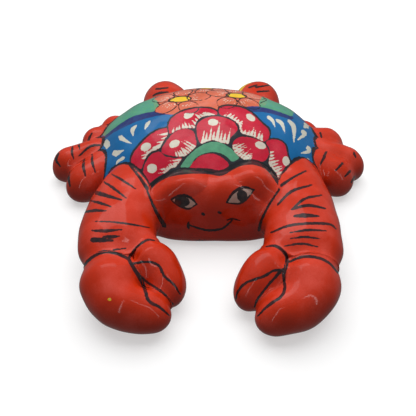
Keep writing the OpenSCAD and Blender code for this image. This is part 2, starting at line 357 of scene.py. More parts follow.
# %% [markdown]
# The shell is one closed skin: down the dome, under the rolled foot, in to the opening of the base
# plate, up through the opening, and back over the inner dome 5 mm further in. So it has the wall
# that the clay has.

# %% Shell
def join_rings(rings):
    """Points and faces of a row of rings of equal count, where a ring of one point is a pole."""
    points, faces, starts = [], [], []
    for ring in rings:
        starts.append(sum(len(r) for r in points))
        points.append(ring)
    for a, b, ring_a, ring_b in zip(starts, starts[1:], rings, rings[1:]):
        n = max(len(ring_a), len(ring_b))
        for k in range(n):
            m = (k + 1) % n
            if len(ring_a) == 1:
                faces.append((a, b + k, b + m))
            elif len(ring_b) == 1:
                faces.append((a + k, b, a + m))
            else:
                faces.append((a + k, b + k, b + m, a + m))
    return np.concatenate(points), faces


def circle_of(count):
    return np.linspace(0, math.tau, count, endpoint=False)


def dome_rings(mound, count, turns, grow=0.0, lowest=0.0):
    """Rings of a mound from its crown down to a level."""
    top = mound["top"] + grow
    end = math.asin(lowest / top)
    angles = np.linspace(math.pi / 2, end, count + 1)[1:]
    crown = np.array([[mound["middle"][0], mound["middle"][1], top]])
    return [crown] + [mound_ring(mound, top * math.sin(a), grow, turns) for a in angles]

SHELL_ROUND, SHELL_DOWN, INNER_RINGS = 560, 150, 8
shell_turns = circle_of(int(SHELL_ROUND * FINENESS))
outer = dome_rings(SHELL, int(SHELL_DOWN * FINENESS), shell_turns)
opening = [mound_ring(SHELL, 0, -WALL, shell_turns, 1.0)]
opening.append(opening[0] + [0, 0, PLATE])
inner = dome_rings(SHELL, INNER_RINGS, shell_turns, -WALL, PLATE)[::-1]
shell_shape = join_rings(outer + opening + inner)
shell_skin = join_rings(outer + [np.array([[*SHELL["middle"], 0.0]])])
print(len(shell_shape[1]), "faces in the shell")

# %% [markdown]
# The head is three mounds that the potter kneaded into one: the face and the two brows, one of them
# higher. Straight lines go out from a point inside it in all directions, and each stops where the
# blended distance is nought. That gives one even skin without the seams that a boolean would leave.

# %% Head
BROW_SOFTNESS = 16.0
HEAD_MIDDLE = np.array([5.0, -33.0, 0.0])
HEAD_REACH = 90.0
HEAD_ROUND, HEAD_DOWN = 300, 120
HALVINGS = 18


def head_gap(points):
    face, low, high = (mound_gap(m, points) for m in (FACE, LOW_BROW, HIGH_BROW))
    return knead(knead(face, low, BROW_SOFTNESS), high, BROW_SOFTNESS)


def skin_along(directions, gap, middle):
    """Where straight lines from a middle leave a form, found by halving."""
    near, far = np.zeros(len(directions)), np.full(len(directions), HEAD_REACH)
    for _ in range(HALVINGS):
        half = (near + far) / 2
        inside = gap(middle + directions * half[:, None])[0] < 0
        near, far = np.where(inside, half, near), np.where(inside, far, half)
    return middle + directions * near[:, None]

head_turns = circle_of(int(HEAD_ROUND * FINENESS))
head_rings = [np.array([[0.0, 0.0, 1.0]])]
for lift in np.linspace(math.pi / 2, 0, int(HEAD_DOWN * FINENESS) + 1)[1:]:
    head_rings.append(np.stack([
        np.cos(head_turns) * math.cos(lift), np.sin(head_turns) * math.cos(lift),
        np.full_like(head_turns, math.sin(lift))], 1))
head_points, head_faces = join_rings(head_rings + [np.zeros((1, 3))])
head_points = skin_along(head_points[:-1], head_gap, HEAD_MIDDLE)
outwards = (head_points - HEAD_MIDDLE) * [1, 1, 0]
outwards /= np.maximum(np.linalg.norm(outwards, axis=1), 1e-9)[:, None]
head_points = np.concatenate([head_points - outwards * foot_inset(head_points[:, 2:]), [HEAD_MIDDLE]])
head_shape = head_points, head_faces
print(len(head_faces), "faces in the head, top at", round(head_points[:, 2].max(), 1), "mm")

# %% [markdown]
# Wet clay lets the potter draw a finger along each joint, which leaves a soft fillet there.
# The rule is the one that blended the brows: where a point of one pod's skin is near its neighbour,
# it moves out until the blended distance is nought. The neighbour's skin does the same, so both meet
# in the middle of the fillet. The distance of each point from each joint is kept, because the painter
# follows the joints with a black line later.

# %% Which pods touch, and how widely each joint was wiped
SIDES = ("left", "right")
JOINTS = [("carapace", "head", 5.0)]
for side in SIDES:
    JOINTS += [
        ("carapace", f"{side}_arm", 5.0),
        ("head", f"{side}_arm", 15.0),
        (f"{side}_arm", f"{side}_claw_finger", 16.0),
        (f"{side}_arm", f"{side}_claw_thumb", 14.0),
        (f"{side}_claw_finger", f"{side}_claw_thumb", 8.0),
        ("carapace", f"{side}_paddle", 5.0),
        (f"{side}_arm", f"{side}_leg_1", 6.0),
    ]
    JOINTS += [("carapace", f"{side}_leg_{i}", 6.0) for i in range(1, 5)]
    JOINTS += [(f"{side}_leg_{i}", f"{side}_leg_{i + 1}", 8.0) for i in range(1, 4)]

pods = {"carapace": shell_shape, "head": head_shape, **limb_shapes}
skins = {name: shell_skin if name == "carapace" else shape for name, shape in pods.items()}
trees = {name: BVHTree.FromPolygons(points.tolist(), faces) for name, (points, faces) in skins.items()}
boxes = {name: (points.min(0), points.max(0)) for name, (points, _) in skins.items()}
print(len(JOINTS), "joints between", len(pods), "pods")

# %% [markdown]
# The wet finger goes over every joint in four passes. A point that lies deep inside its neighbour is
# left where it is, because nobody sees it. One just inside ends a hair under the shared skin, so that
# the two skins never lie in one place and flicker.

# %% How far a point is from a neighbour
# The gap of a point whose neighbour is out of reach
FAR = 99.0
# Nearer than this to a skin, the way out is taken from the skin itself
TOUCHING = 0.05


def gap_to(name, points, reach):
    """Distance of points from a pod, less than nought inside it, and the way out of it."""
    gap, out = np.full(len(points), FAR), np.zeros((len(points), 3))
    low, high = boxes[name]
    near = np.all((points > low - reach) & (points < high + reach), axis=1)
    find = trees[name].find_nearest
    for i in np.flatnonzero(near):
        spot, normal, _, distance = find(points[i])
        away = points[i] - spot
        inside = -1.0 if away @ np.array(normal) < 0 else 1.0
        gap[i] = inside * distance
        out[i] = away / distance * inside if distance > TOUCHING else normal
    return gap, out


def skin_normals(points, faces):
    """The way out of each point of a skin, from the faces round it."""
    normals = np.zeros_like(points)
    for size in (3, 4):
        corners = np.array([f for f in faces if len(f) == size])
        if len(corners) == 0:
            continue
        p = points[corners]
        face_normals = np.cross(p[:, 2] - p[:, 0], p[:, size - 1] - p[:, 1])
        for k in range(size):
            np.add.at(normals, corners[:, k], face_normals)
    return normals / np.maximum(np.linalg.norm(normals, axis=1), 1e-12)[:, None]

print("gaps are counted as far from", FAR, "mm")

# %% Wiping the joints
PASSES = 4
# How deep inside its neighbour a point may lie and still be wiped, and how deep it then stays
PAST = 1.2
TUCK = 0.08
# The longest move in one pass, and the least slope that a move is worked out from
LONGEST_MOVE = 3
LEAST_SLOPE = 0.2


def wipe(name):
    """Moves one pod's skin out into its joints. Returns the points and their distances from the joints."""
    points, faces = pods[name]
    outer_points = len(shell_skin[0]) - 1 if name == "carapace" else len(points)
    joints = [(b if a == name else a, soft) for a, b, soft in JOINTS if name in (a, b)]
    start = points[:outer_points]
    out = skin_normals(points, faces)[:outer_points]
    first = {other: gap_to(other, start, soft) for other, soft in joints}
    moving = np.zeros(outer_points, bool)
    for other, soft in joints:
        moving |= (first[other][0] > -PAST) & (first[other][0] < soft)
    for other, _ in joints:
        moving &= first[other][0] > -PAST
    index = np.flatnonzero(moving)
    p, p0, n0 = start[index].copy(), start[index], out[index]
    for turn in range(PASSES):
        blend = np.sum((p - p0) * n0, axis=1), n0
        for other, soft in joints:
            there = gap_to(other, p, soft) if turn else tuple(v[index] for v in first[other])
            blend = knead(blend, there, soft)
        gap, way = blend
        move = gap / np.maximum(np.sum(way * way, axis=1), LEAST_SLOPE)
        p -= way * np.clip(move, -LONGEST_MOVE, LONGEST_MOVE)[:, None]
    inside = np.min([first[other][0][index] for other, _ in joints], axis=0) < 0
    p[inside] -= way[inside] * TUCK
    moved = points.copy()
    moved[index] = p
    gaps = {other: np.concatenate([first[other][0], np.full(len(points) - outer_points, FAR)])
            for other, _ in joints}
    return moved, gaps

wiped = {name: wipe(name) for name in pods}
print("wiped, widest move",
      round(max(np.linalg.norm(wiped[n][0] - pods[n][0], axis=1).max() for n in pods), 1), "mm")

# %% [markdown]
# Nothing made by hand is perfectly even. Slow waves of a few tenths of a millimetre run over all the
# pods alike. They hardly show as shape, but the glaze mirrors the lamp in them, so its reflections
# wander as they do on the real one. The ends of the pods that lie inside the shell stop above the
# base plate, so nothing is left in the plane of its underside.

# %% Waves left by the hand, and the ends inside the shell
# direction and closeness of each wave, and its height in mm
WAVES = [
    ((0.11, 0.05, 0.09), 0.20), ((-0.06, 0.12, 0.07), 0.18), ((0.16, -0.14, 0.05), 0.10),
    ((0.03, 0.21, -0.17), 0.07), ((-0.24, 0.08, 0.19), 0.05),
]
WAVE_PACE = 1.6
WAVE_SHIFT = 2.1


def hand_waves(points):
    return sum(size * np.sin(points @ np.array(wave) * WAVE_PACE + WAVE_SHIFT * k)
               for k, (wave, size) in enumerate(WAVES))

FLOOR_FADE = 4.0
PLATE_CLEAR = 7.0
# A point counts as buried from this far inside the shell, and wholly so after the fade
BURIED_FROM, BURIED_FADE = 1, 2.5
finished = {}
for name, (points, gaps) in wiped.items():
    normals = skin_normals(points, pods[name][1])
    fade = np.clip(points[:, 2] / FLOOR_FADE, 0, 1)
    finished[name] = points + normals * (hand_waves(points) * fade)[:, None]
    if "carapace" in gaps:
        low = np.flatnonzero(finished[name][:, 2] < PLATE_CLEAR)
        raised = finished[name][low] * (1, 1, 0) + (0, 0, 2 * PLATE_CLEAR)
        buried = np.clip((-gap_to("carapace", raised, 1)[0] - BURIED_FROM) / BURIED_FADE, 0, 1)
        finished[name][low, 2] += buried * (PLATE_CLEAR - finished[name][low, 2])
    finished[name][:, 2] = np.maximum(finished[name][:, 2], 0)
print("waves up to", round(sum(size for _, size in WAVES), 2), "mm")

# %% [markdown]
# Now the biscuit-fired crab goes to the painter. A photograph shows where each stroke lies in the
# picture, not where it lies on the clay. So each stroke is written as named picture points, 416 to
# the width, and a straight line from the camera through each point finds the clay. What is stored is
# the stroke's place in space, so it stays on the clay from any side.
# Each colour becomes one number per point of a skin: how many millimetres the point lies inside the
# colour's edge. The glaze's shader turns that into a crisp edge, however coarse the mesh is.

# %% Finding the clay behind a picture point
# One picture point is about this many millimetres wide on the clay
PIXEL = 0.87
# Depths are kept up to this many millimetres on either side of an edge
DEPTH_LIMIT = 3.0
# A line of sight that just misses the clay is led back to its edge in this many steps
EDGE_TRIES = 8
COLOURS = ("navy", "salmon", "black", "green", "crimson", "yellow", "white", "shaded_white", "ink")

eye = np.array(camera.location) / MM
view = np.array(camera.matrix_world.to_3x3())
focal = LENS / SENSOR * PICTURE
finished_trees = {n: BVHTree.FromPolygons(finished[n].tolist(), pods[n][1]) for n in pods}
finished_normals = {n: skin_normals(finished[n], pods[n][1]) for n in pods}
paint = {n: {c: np.full(len(finished[n]), -DEPTH_LIMIT) for c in COLOURS} for n in pods}


def to_picture(points):
    """Where points of space lie in the picture."""
    local = (points - eye) @ view
    return np.stack([PICTURE / 2 + focal * local[:, 0] / -local[:, 2],
                     PICTURE / 2 - focal * local[:, 1] / -local[:, 2]], 1)


def onto_clay(pieces, picture_points):
    """What the picture shows of some pieces at these places.
    A point just off the first of them takes its edge."""
    found = []
    for x, y in picture_points:
        way = view @ np.array([(x - PICTURE / 2) / focal, (PICTURE / 2 - y) / focal, -1.0])
        way /= np.linalg.norm(way)
        hits = [finished_trees[piece].ray_cast(eye, way) for piece in pieces]
        hits = [(distance, spot) for spot, _, _, distance in hits if spot is not None]
        if hits:
            found.append(min(hits, key=lambda hit: hit[0])[1])
            continue
        reach = DISTANCE / MM
        for _ in range(EDGE_TRIES):
            near = finished_trees[pieces[0]].find_nearest(eye + way * reach)[0]
            reach = (np.array(near) - eye) @ way
        found.append(near)
    return np.array(found)

print("the painter sees", len(pods), "pods")

# %% [markdown]
# A hand doesn't paint in straight runs, so every line is drawn as one flowing curve through its points.
# Then each point of the skin near it is told how deep it lies in the line, or how far outside.

# %% Flowing lines, and how deep a point lies in them
def smooth_line(points, closed=False, pieces=6):
    """A flowing line through points of any number of values, such as x, y and width."""
    p = [np.array(q, float) for q in points]
    ring = [p[-1]] + p + p[:2] if closed else [2 * p[0] - p[1]] + p + [2 * p[-1] - p[-2]]
    line = []
    for a, b, c, d in zip(ring, ring[1:], ring[2:], ring[3:]):
        for t in np.arange(pieces) / pieces:
            line.append(0.5 * (2 * b + (c - a) * t + (2 * a - 5 * b + 4 * c - d) * t ** 2
                               + (3 * b - a - 3 * c + d) * t ** 3))
    return np.array(line if closed else line + [p[-1]])


def depth_in_line(points, line, radii, limit=DEPTH_LIMIT):
    """How far points lie inside a line that has a radius at each of its corners."""
    best = np.full(len(points), -float(limit))
    for a, b, ra, rb in zip(line, line[1:], radii, radii[1:]):
        run = b - a
        t = np.clip((points - a) @ run / max(run @ run, 1e-9), 0, 1)
        distance = np.linalg.norm(points - a - t[:, None] * run, axis=1)
        best = np.maximum(best, ra + (rb - ra) * t - distance)
    return best


def near_line(piece, line, reach):
    """The numbers of a piece's points in the box round a line."""
    p = finished[piece]
    return np.flatnonzero(np.all((p > line.min(0) - reach) & (p < line.max(0) + reach), axis=1))


def lay(piece, colour, index, depth):
    """Adds a touch of one colour to a piece."""
    layer = paint[piece][colour]
    layer[index] = np.maximum(layer[index], np.clip(depth, -DEPTH_LIMIT, DEPTH_LIMIT))


def inside_outline(points, outline):
    """Which flat points lie inside a closed outline, by counting the edges to one side of them."""
    inside = np.zeros(len(points), bool)
    for (x0, y0), (x1, y1) in zip(outline, np.roll(outline, -1, axis=0)):
        crosses = (y0 > points[:, 1]) != (y1 > points[:, 1])
        if crosses.any():
            at = x0 + (points[crosses, 1] - y0) * (x1 - x0) / (y1 - y0)
            inside[crosses] ^= points[crosses, 0] < at
    return inside

print("lines flow, and depths are kept up to", DEPTH_LIMIT, "mm")

# %% [markdown]
# Most of what the picture shows is painted with two touches. A patch fills a closed outline, and a
# stroke is a line with a width that changes, as a round brush leaves when it lands, is pressed and
# lifts. A stroke is turned into the outline of its own mark and then filled like a patch.

# %% Patches and strokes
# Distances from an outline are measured up to this many millimetres
PATCH_REACH = 15
# A stroke has this many straight runs between two of its points
STROKE_CORNERS = 5


def patch(pieces, colour, outline, limit=None, rounded=True, thickest=None):
    """Fills closed picture points with a colour on some pieces. Returns the depth on the last of them.
    With a limit it stays inside another patch. With a thickest size, clay further behind is left alone."""
    edge = smooth_line(outline, closed=True) if rounded else np.array(outline, float)
    line = onto_clay(pieces, edge)
    line = np.concatenate([line, line[:1]])
    for piece in pieces:
        index = near_line(piece, line, DEPTH_LIMIT)
        towards = np.sum(finished_normals[piece][index] * (eye - finished[piece][index]), axis=1) > 0
        index = index[towards]
        far = -depth_in_line(finished[piece][index], line, np.zeros(len(line)), PATCH_REACH)
        inside = inside_outline(to_picture(finished[piece][index]), edge)
        if thickest is not None:
            inside &= far < thickest
        depth = np.where(inside, far, -far)
        depth = depth if limit is None else np.minimum(depth, limit[index])
        lay(piece, colour, index, depth)
        whole = np.full(len(finished[piece]), -DEPTH_LIMIT)
        whole[index] = depth
    return whole


def stroke(pieces, colour, points, widths=(1.4, 1.4), load=1.0):
    """A brush stroke through picture points, with widths in picture points along it."""
    widths = np.interp(np.linspace(0, 1, len(points)), np.linspace(0, 1, len(widths)), widths)
    flowing = smooth_line([(*p, w) for p, w in zip(points, widths)], pieces=STROKE_CORNERS)
    way = np.gradient(flowing[:, :2], axis=0)
    way /= np.maximum(np.linalg.norm(way, axis=1), 1e-9)[:, None]
    half = flowing[:, 2:] * load / 2
    side = np.stack([-way[:, 1], way[:, 0]], 1) * half
    tip, tail = flowing[-1:, :2] + way[-1:] * half[-1], flowing[:1, :2] - way[:1] * half[0]
    outline = np.concatenate([flowing[:, :2] + side, tip, (flowing[:, :2] - side)[::-1], tail])
    # Clay further than this behind the mark belongs to another side of the pod
    thickest = max(widths) * load * 2.2 + 2
    patch(pieces, colour, outline, rounded=False, thickest=thickest)

print("two touches ready: patch and stroke")

# %% [markdown]
# The middle of the pattern is a big open flower behind the brow. The painter blocks it in with black
# and sets each crimson petal inside that, so the black left between them is the outline. Each petal
# then gets one round touch of white, and a fringe of quick white flicks from its base.

# %% Outlines of the petals, each with its dot and its fringe
# name: outline, dot (middle, half sizes, lean), fringe (base line, first flick, last flick, flicks)
PETALS = {
    "inner_middle": (
        [(201, 143.5), (197.8, 137.5), (196.5, 130), (197.5, 124.4), (202.5, 119.4), (210, 116.9),
         (218.1, 116.5), (226.3, 118.1), (232.5, 121), (236.3, 125), (237.3, 130), (233.8, 134.4),
         (230, 138.1), (228.1, 143.8), (221.3, 142.5), (213.8, 140.3), (207.5, 141.3)],
        ((213.1, 122.3), (5.2, 3.3), 0),
        ([(200.5, 143.5), (208, 141.2), (217, 140.2), (229, 144)], (1, -6.5), (2, -8), 11)),
    "inner_left": (
        [(161.5, 151.5), (163.5, 145.3), (169, 137.8), (175, 132), (182.5, 129.2), (190, 129.6),
         (194.2, 132.8), (195.6, 138.9), (196.4, 144.8), (193.5, 148.9), (190, 152.5), (185, 155.8),
         (181, 156.5), (175, 156.3), (168, 155), (163.3, 153.4)],
        ((174.4, 143.8), (5.6, 3.6), 25),
        ([(175.5, 156), (183, 156), (191, 151.5), (197, 146)], (-1, -5), (-7.5, -4), 11)),
    "inner_right": (
        [(232.5, 146.3), (233.8, 141.3), (238.8, 137.5), (246.3, 136.9), (255, 138.8), (262.5, 141.9),
         (266.9, 146.9), (268.8, 152.5), (267.5, 157.5), (263.8, 161.3), (256.3, 161.5), (247.5, 161),
         (241.3, 158.1), (237.5, 155), (233.8, 150.6)],
        ((260.6, 145.3), (5.6, 3.6), -22),
        ([(231, 145), (235, 152), (240, 158.5), (250, 162)], (6, -2), (4.5, -6), 12)),
    "outer_upper_left": (
        [(168.5, 129), (168.5, 125), (171.3, 118.8), (177.5, 113.8), (185, 110.6), (195, 108.5),
         (205, 108.1), (212.5, 109.4), (216.9, 111.9), (216.3, 114.8), (207.5, 115.6), (201.3, 117.5),
         (196.9, 121.3), (195, 125.6), (194.4, 128.1), (187.5, 128.1), (181.3, 128.8), (175, 131.3),
         (170, 133.8)],
        ((188.8, 114.8), (5.6, 3.3), 28),
        ([(217, 115.5), (206, 116), (199, 119), (194, 127.5), (184, 128.8), (171, 134.5)],
         (-5, -1.5), (1, -3.5), 19)),
    "outer_upper_right": (
        [(218.8, 111.3), (220, 107.8), (226.3, 106), (235, 106.5), (242.5, 108.1), (250, 111.9),
         (256.3, 117.5), (262.5, 123.8), (268.1, 128.8), (269.4, 133.8), (268.1, 138.8), (263.8, 141.3),
         (257.5, 138.8), (250, 135.6), (242.5, 133.8), (240, 130), (238.8, 125), (235, 121.3),
         (228.8, 117.5), (222.5, 115.6), (219.4, 113.8)],
        ((250.6, 117.5), (5.2, 3.0), -35),
        ([(222, 115.8), (230, 118), (238, 123.5), (241, 133), (252, 136.5), (263, 141)],
         (3, -2), (0.5, -5), 19)),
    "outer_left": (
        [(166.5, 128.1), (160, 129.4), (152.5, 133.1), (145, 139.4), (138.8, 146.3), (133.1, 153.8),
         (131, 161.3), (132.5, 167.5), (137.5, 169.4), (141.5, 168.1), (143.8, 162.5), (146, 157.5),
         (150, 152.5), (157.5, 149.4), (160, 147.5), (161.3, 145), (165, 138.8), (167.5, 135),
         (167.3, 130)],
        ((145.9, 146.9), (5.4, 3.9), 30),
        ([(167, 132), (165.5, 138), (161, 145.5), (152, 151), (145, 159)], (-4, 1), (-4.5, 0.5), 13)),
    "outer_lower_left": (
        [(160, 151.9), (153.8, 153.1), (148.8, 157.5), (145, 163.8), (143.1, 171.3), (143.1, 177.5),
         (146.3, 182.5), (150, 182.8), (155, 178.8), (161.3, 175), (166.3, 172.5), (170, 168.8),
         (175, 167.5), (177.5, 165), (181.3, 160), (181.3, 157.5), (175, 158.1), (167.5, 156.9),
         (163.1, 155)],
        ((152.1, 168.5), (5.0, 4.8), 20),
        ([(182, 158.5), (179, 164), (173, 169), (166, 173.5)], (-9, 1.5), (-5, 0), 11)),
    "outer_right": (
        [(266.3, 143.1), (269.4, 140), (275, 139.4), (281.3, 141.3), (285.6, 146.3), (287.5, 155),
         (290, 162.5), (291.9, 170), (290, 176.3), (286.3, 179.4), (282.5, 181.3), (280, 180.5),
         (278.1, 178.8), (276.3, 173.8), (272.5, 168.8), (268.8, 163.8), (269.4, 157.5),
         (270, 152.5), (268.8, 147.5)],
        ((286.3, 161.3), (3.8, 5.0), 12),
        ([(270, 151), (269, 158), (270.5, 165.5), (276.5, 173), (279, 179)], (4, -1), (5.5, -2.5), 12)),
}
GREEN_RING = [
    (181, 166.5), (186, 158.5), (193, 151.5), (200.5, 146), (208, 142.8), (215, 141.8), (222.5, 143.5),
    (229.5, 147.5), (235, 152.5), (239, 158), (235.5, 160.5), (231.5, 161.5), (227.5, 157.3),
    (221.5, 153.5), (213.8, 152), (206, 153), (199.5, 155.5), (194, 160), (190, 166.5), (185, 167.8)]
FLOWER_HEART = [
    (190, 167), (193.8, 161.3), (198.8, 156.9), (205, 154.4), (211.3, 153.5), (218.8, 155.6),
    (224.4, 159.4), (228.5, 163.8), (227.5, 170), (223.8, 174), (217.5, 173), (210, 171),
    (201.3, 170), (191.3, 169)]
FLOWER_GROUND = [
    (140, 185), (131, 170), (129.5, 160), (131.5, 152.5), (137.5, 144.5), (143.8, 138), (151.5, 131.6),
    (159.5, 127.8), (166, 126.5), (167.3, 122.5), (170.3, 117.3), (176.8, 112.4), (184.5, 109),
    (194.5, 106.9), (205, 106.5), (213, 107.6), (217, 109.4), (219, 106.4), (225.8, 104.3),
    (235.3, 104.7), (243.3, 106.4), (251.4, 110.7), (257.8, 116.3), (263.8, 122.5), (269.8, 127.7),
    (271.3, 133.8), (270.3, 137.9), (275, 137.7), (282.1, 139.9), (287.3, 145.5), (289.3, 154.5),
    (291.8, 162), (293.7, 170), (292, 177.3), (287, 181.5), (282, 188), (262, 190), (215, 190), (165, 195)]

print(len(PETALS), "petals outlined")

# %% Dots and flicks of white
flicks = np.random.default_rng(7)
# The share of the flicks in the table that is painted, how far one is pulled, how much the hand
# shakes, and how wide a flick is, as a share of its part of the base line
FLICK_SHARE = 0.72
FLICK_PULL = (1.1, 2.3)
FLICK_SHAKE = 0.5
FLICK_WIDTH = (0.38, 0.52)


def oval(middle, sizes, lean, corners=16):
    """A closed round mark, leaning by some degrees."""
    turns = circle_of(corners)
    x, y = sizes[0] * np.cos(turns), sizes[1] * np.sin(turns)
    lean = math.radians(lean)
    return np.stack([middle[0] + x * math.cos(lean) + y * math.sin(lean),
                     middle[1] - x * math.sin(lean) + y * math.cos(lean)], 1)


def fringe(piece, base, first, last, count, limit):
    """Quick white flicks from a base line, each wide where the brush lands and thin where it lifts."""
    base = smooth_line(base)
    steps = np.concatenate([[0], np.cumsum(np.linalg.norm(np.diff(base, axis=0), axis=1))])
    count = round(count * FLICK_SHARE)
    for k in range(count):
        at = (k + 0.5) / count
        start = np.array([np.interp(at * steps[-1], steps, base[:, i]) for i in (0, 1)])
        way = np.array(first) * (1 - at) + np.array(last) * at
        way = way * flicks.uniform(*FLICK_PULL) + flicks.normal(0, FLICK_SHAKE, 2)
        line = onto_clay((piece,), np.array([start - way * 0.15, start + way * 0.45, start + way]))
        index = near_line(piece, line, DEPTH_LIMIT)
        wide = steps[-1] / count * flicks.uniform(*FLICK_WIDTH) * PIXEL
        depth = depth_in_line(finished[piece][index], line, [wide, wide * 0.6, 0.1])
        lay(piece, "white", index, np.minimum(depth, limit[index] - 0.1))

print("white is on the brush")

# %% Paint the flower
SHELL_ONLY = ("carapace",)
patch(SHELL_ONLY, "black", FLOWER_GROUND)
for name, (outline, dot, flick) in PETALS.items():
    petal = patch(SHELL_ONLY, "crimson", outline)
    patch(SHELL_ONLY, "white", oval(*dot), limit=petal)
    fringe("carapace", *flick, petal)
patch(SHELL_ONLY, "green", GREEN_RING)
patch(SHELL_ONLY, "crimson", FLOWER_HEART)
print(len(PETALS), "petals painted")

# %% [markdown]
# Blue panels lie on both sides of the flower, with comma strokes in white slip. Above them run a navy
# line and a green band. The blue needs no patch, because it is the ground colour of the whole shell.

# %% Blue panels and bands
NAVY_BANDS = {
    "left": ([(179, 112.5), (165, 111.7), (151.3, 113.7), (136.3, 118.2), (122.5, 124.7), (111.3, 131.2),
              (104, 137)], (3.4, 4.2, 4.2, 3.4, 2.6)),
    "right": ([(243.8, 106.6), (251.3, 108), (261.3, 108.3), (272.5, 110.8), (282.5, 114.2),
               (292, 118)], (4.6, 5.0, 4.2, 3.4, 2.4)),
}
GREEN_BANDS = {
    "left": [(157.5, 101), (149, 98.5), (136, 103), (124, 109.5), (112, 119), (102.5, 131),
             (104, 136), (113.8, 128.5), (122.5, 122.3), (132.5, 116.6), (145, 113), (153.8, 111.3),
             (156, 107.5)],
    "right": [(262, 97), (272, 97.5), (283, 101.5), (293, 109.5), (292, 116), (284, 113.5),
              (275, 110.5), (266.3, 108), (259, 106)],
}
COMMAS = {
    "left": {
        "comma_1": ([(120.5, 137.5), (124.5, 140), (131.3, 143.5)], (3.2, 2.2, 0.5)),
        "comma_2": ([(136.3, 125.6), (132.5, 130), (133.1, 136)], (1.0, 2.6, 0.7)),
        "comma_3": ([(150, 121.3), (146.9, 125), (145, 129.4)], (1.2, 2.2, 0.6)),
        "comma_4": ([(115, 153.5), (118, 152.6), (123.8, 150)], (4.4, 2.8, 0.6)),
        "comma_5": ([(123.8, 157.5), (118.1, 161.3), (116.3, 164.4)], (1.8, 1.6, 0.6)),
        "comma_6": ([(106.9, 141.8), (106.9, 145.8)], (3.6, 4.2)),
    },
    "right": {
        "comma_1": ([(268.1, 116.9), (272.5, 120.6), (275, 126.9)], (2.0, 2.0, 0.5)),
        "comma_2": ([(276.9, 120), (281.9, 123.8), (285, 133.1)], (1.8, 2.3, 0.4)),
        "comma_3": ([(288.8, 120.6), (293.8, 127.5), (293.8, 143.1)], (1.8, 2.8, 0.4)),
        "comma_4": ([(306, 125.2), (306.6, 126)], (4.0, 4.0)),
        "comma_5": ([(302.5, 131.3), (304.5, 134.4), (297.5, 140)], (2.4, 2.6, 0.6)),
        "comma_6": ([(308.1, 147.5), (308.5, 151.3), (301.3, 153.1)], (2.6, 2.7, 0.5)),
        "comma_7": ([(306, 161), (306.6, 161.6)], (4.6, 4.6)),
        "comma_8": ([(301.9, 166.3), (304.5, 168.5), (307.5, 170)], (1.4, 1.8, 0.8)),
    },
}

PANEL_LOAD = 1.6
for side in SIDES:
    patch(SHELL_ONLY, "green", GREEN_BANDS[side])
    band, widths = NAVY_BANDS[side]
    stroke(SHELL_ONLY, "navy", band, widths, PANEL_LOAD)
    for line, widths in COMMAS[side].values():
        stroke(SHELL_ONLY, "white", line, widths, PANEL_LOAD)
print("panels painted with", sum(len(commas) for commas in COMMAS.values()), "commas")

# %% [markdown]
# Over the crown the picture shows salmon petals with yellow hearts nearly edge on, and nothing of the
# rear. The rest is laid out from above, in millimetres, as such a pattern goes on: the two flowers
# whole, a third behind them, and the green and navy bands closed round all three.

# %% Painting the shell from above
crown_points = finished["carapace"]


def shell_near(line, margin):
    """The numbers of the shell's points in the flat box round a line, above the rolled foot."""
    low, high = line.min(0) - margin, line.max(0) + margin
    flat = crown_points[:, :2]
    return np.flatnonzero(np.all((flat > low) & (flat < high), axis=1) & (crown_points[:, 2] > FOOT_ROLL))


def seen_from_above(colour, outline):
    """A filled patch inside closed points seen from above."""
    edge = smooth_line(outline, closed=True)
    ring = np.concatenate([edge, edge[:1]])
    index = shell_near(edge, 4)
    flat = crown_points[index, :2]
    distance = -depth_in_line(flat, ring, np.zeros(len(ring)))
    lay("carapace", colour, index, np.where(inside_outline(flat, edge), distance, -distance))


def stroke_from_above(colour, points, widths, closed=False):
    """A brush stroke through points seen from above, with widths in millimetres."""
    widths = np.interp(np.linspace(0, 1, len(points)), np.linspace(0, 1, len(widths)), widths)
    line = smooth_line([(*p, w) for p, w in zip(points, widths)], closed)
    line = np.concatenate([line, line[:1]]) if closed else line
    index = shell_near(line[:, :2], 5)
    lay("carapace", colour, index, depth_in_line(crown_points[index, :2], line[:, :2], line[:, 2] / 2))


def cover(colours, outline):
    """Takes colours away inside closed points, as a later petal hides the one behind it."""
    edge = smooth_line(outline, closed=True)
    ring = np.concatenate([edge, edge[:1]])
    index = shell_near(edge, 0)
    index = index[inside_outline(crown_points[index, :2], edge)]
    distance = -depth_in_line(crown_points[index, :2], ring, np.zeros(len(ring)))
    for colour in colours:
        layer = paint["carapace"][colour]
        layer[index] = np.minimum(layer[index], -distance)

print("ready to paint", len(crown_points), "points from above")

# %% The flowers over the crown
CROWN_GROUND = [
    (-26, 36), (-45, 45), (-48, 58), (-49, 72), (-43, 90), (-28, 104), (0, 110), (30, 104), (46, 90),
    (53, 74), (52, 62), (47, 54), (30, 48), (5, 40)]
CROWN_RIM = [
    (-46, 56), (-52, 74), (-46, 95), (-30, 109), (0, 115), (32, 109), (49, 95), (57, 76), (50, 60)]
# The black line inside the rim is the rim again, drawn in a little towards the middle of the crown
RIM_INNER_SHARE, CROWN_MIDDLE_Y = 0.93, 58
REAR_NAVY = [(-104, 52), (-82, 66), (-62, 88), (-42, 108), (-20, 118), (1, 121), (24, 118), (44, 108),
             (64, 88), (84, 66), (106, 52)]
# Where each white comma beside the crown lands, and how far it is pulled
REAR_COMMAS = ((84, 76, 9, 5), (74, 88, 8, 7), (62, 99, 7, 9), (48, 112, 5, 9), (92, 66, 6, 3))
# middle, half sizes of the heart, turn of the petals
CROWN_FLOWERS = [((-2, 92), (7.5, 5.5), 50), ((-25, 62), (9.0, 5.0), 10), ((25.5, 69), (8.0, 4.6), 95)]
CROWN_PETALS = 5
PETAL_REACH = 17.0
PETAL_SIZES = (10.5, 8.5)
PETAL_STREAKS = 6
STREAK_SWING = 0.16
STREAK_START = (9, 14)
STREAK_PULL = (4, 10)

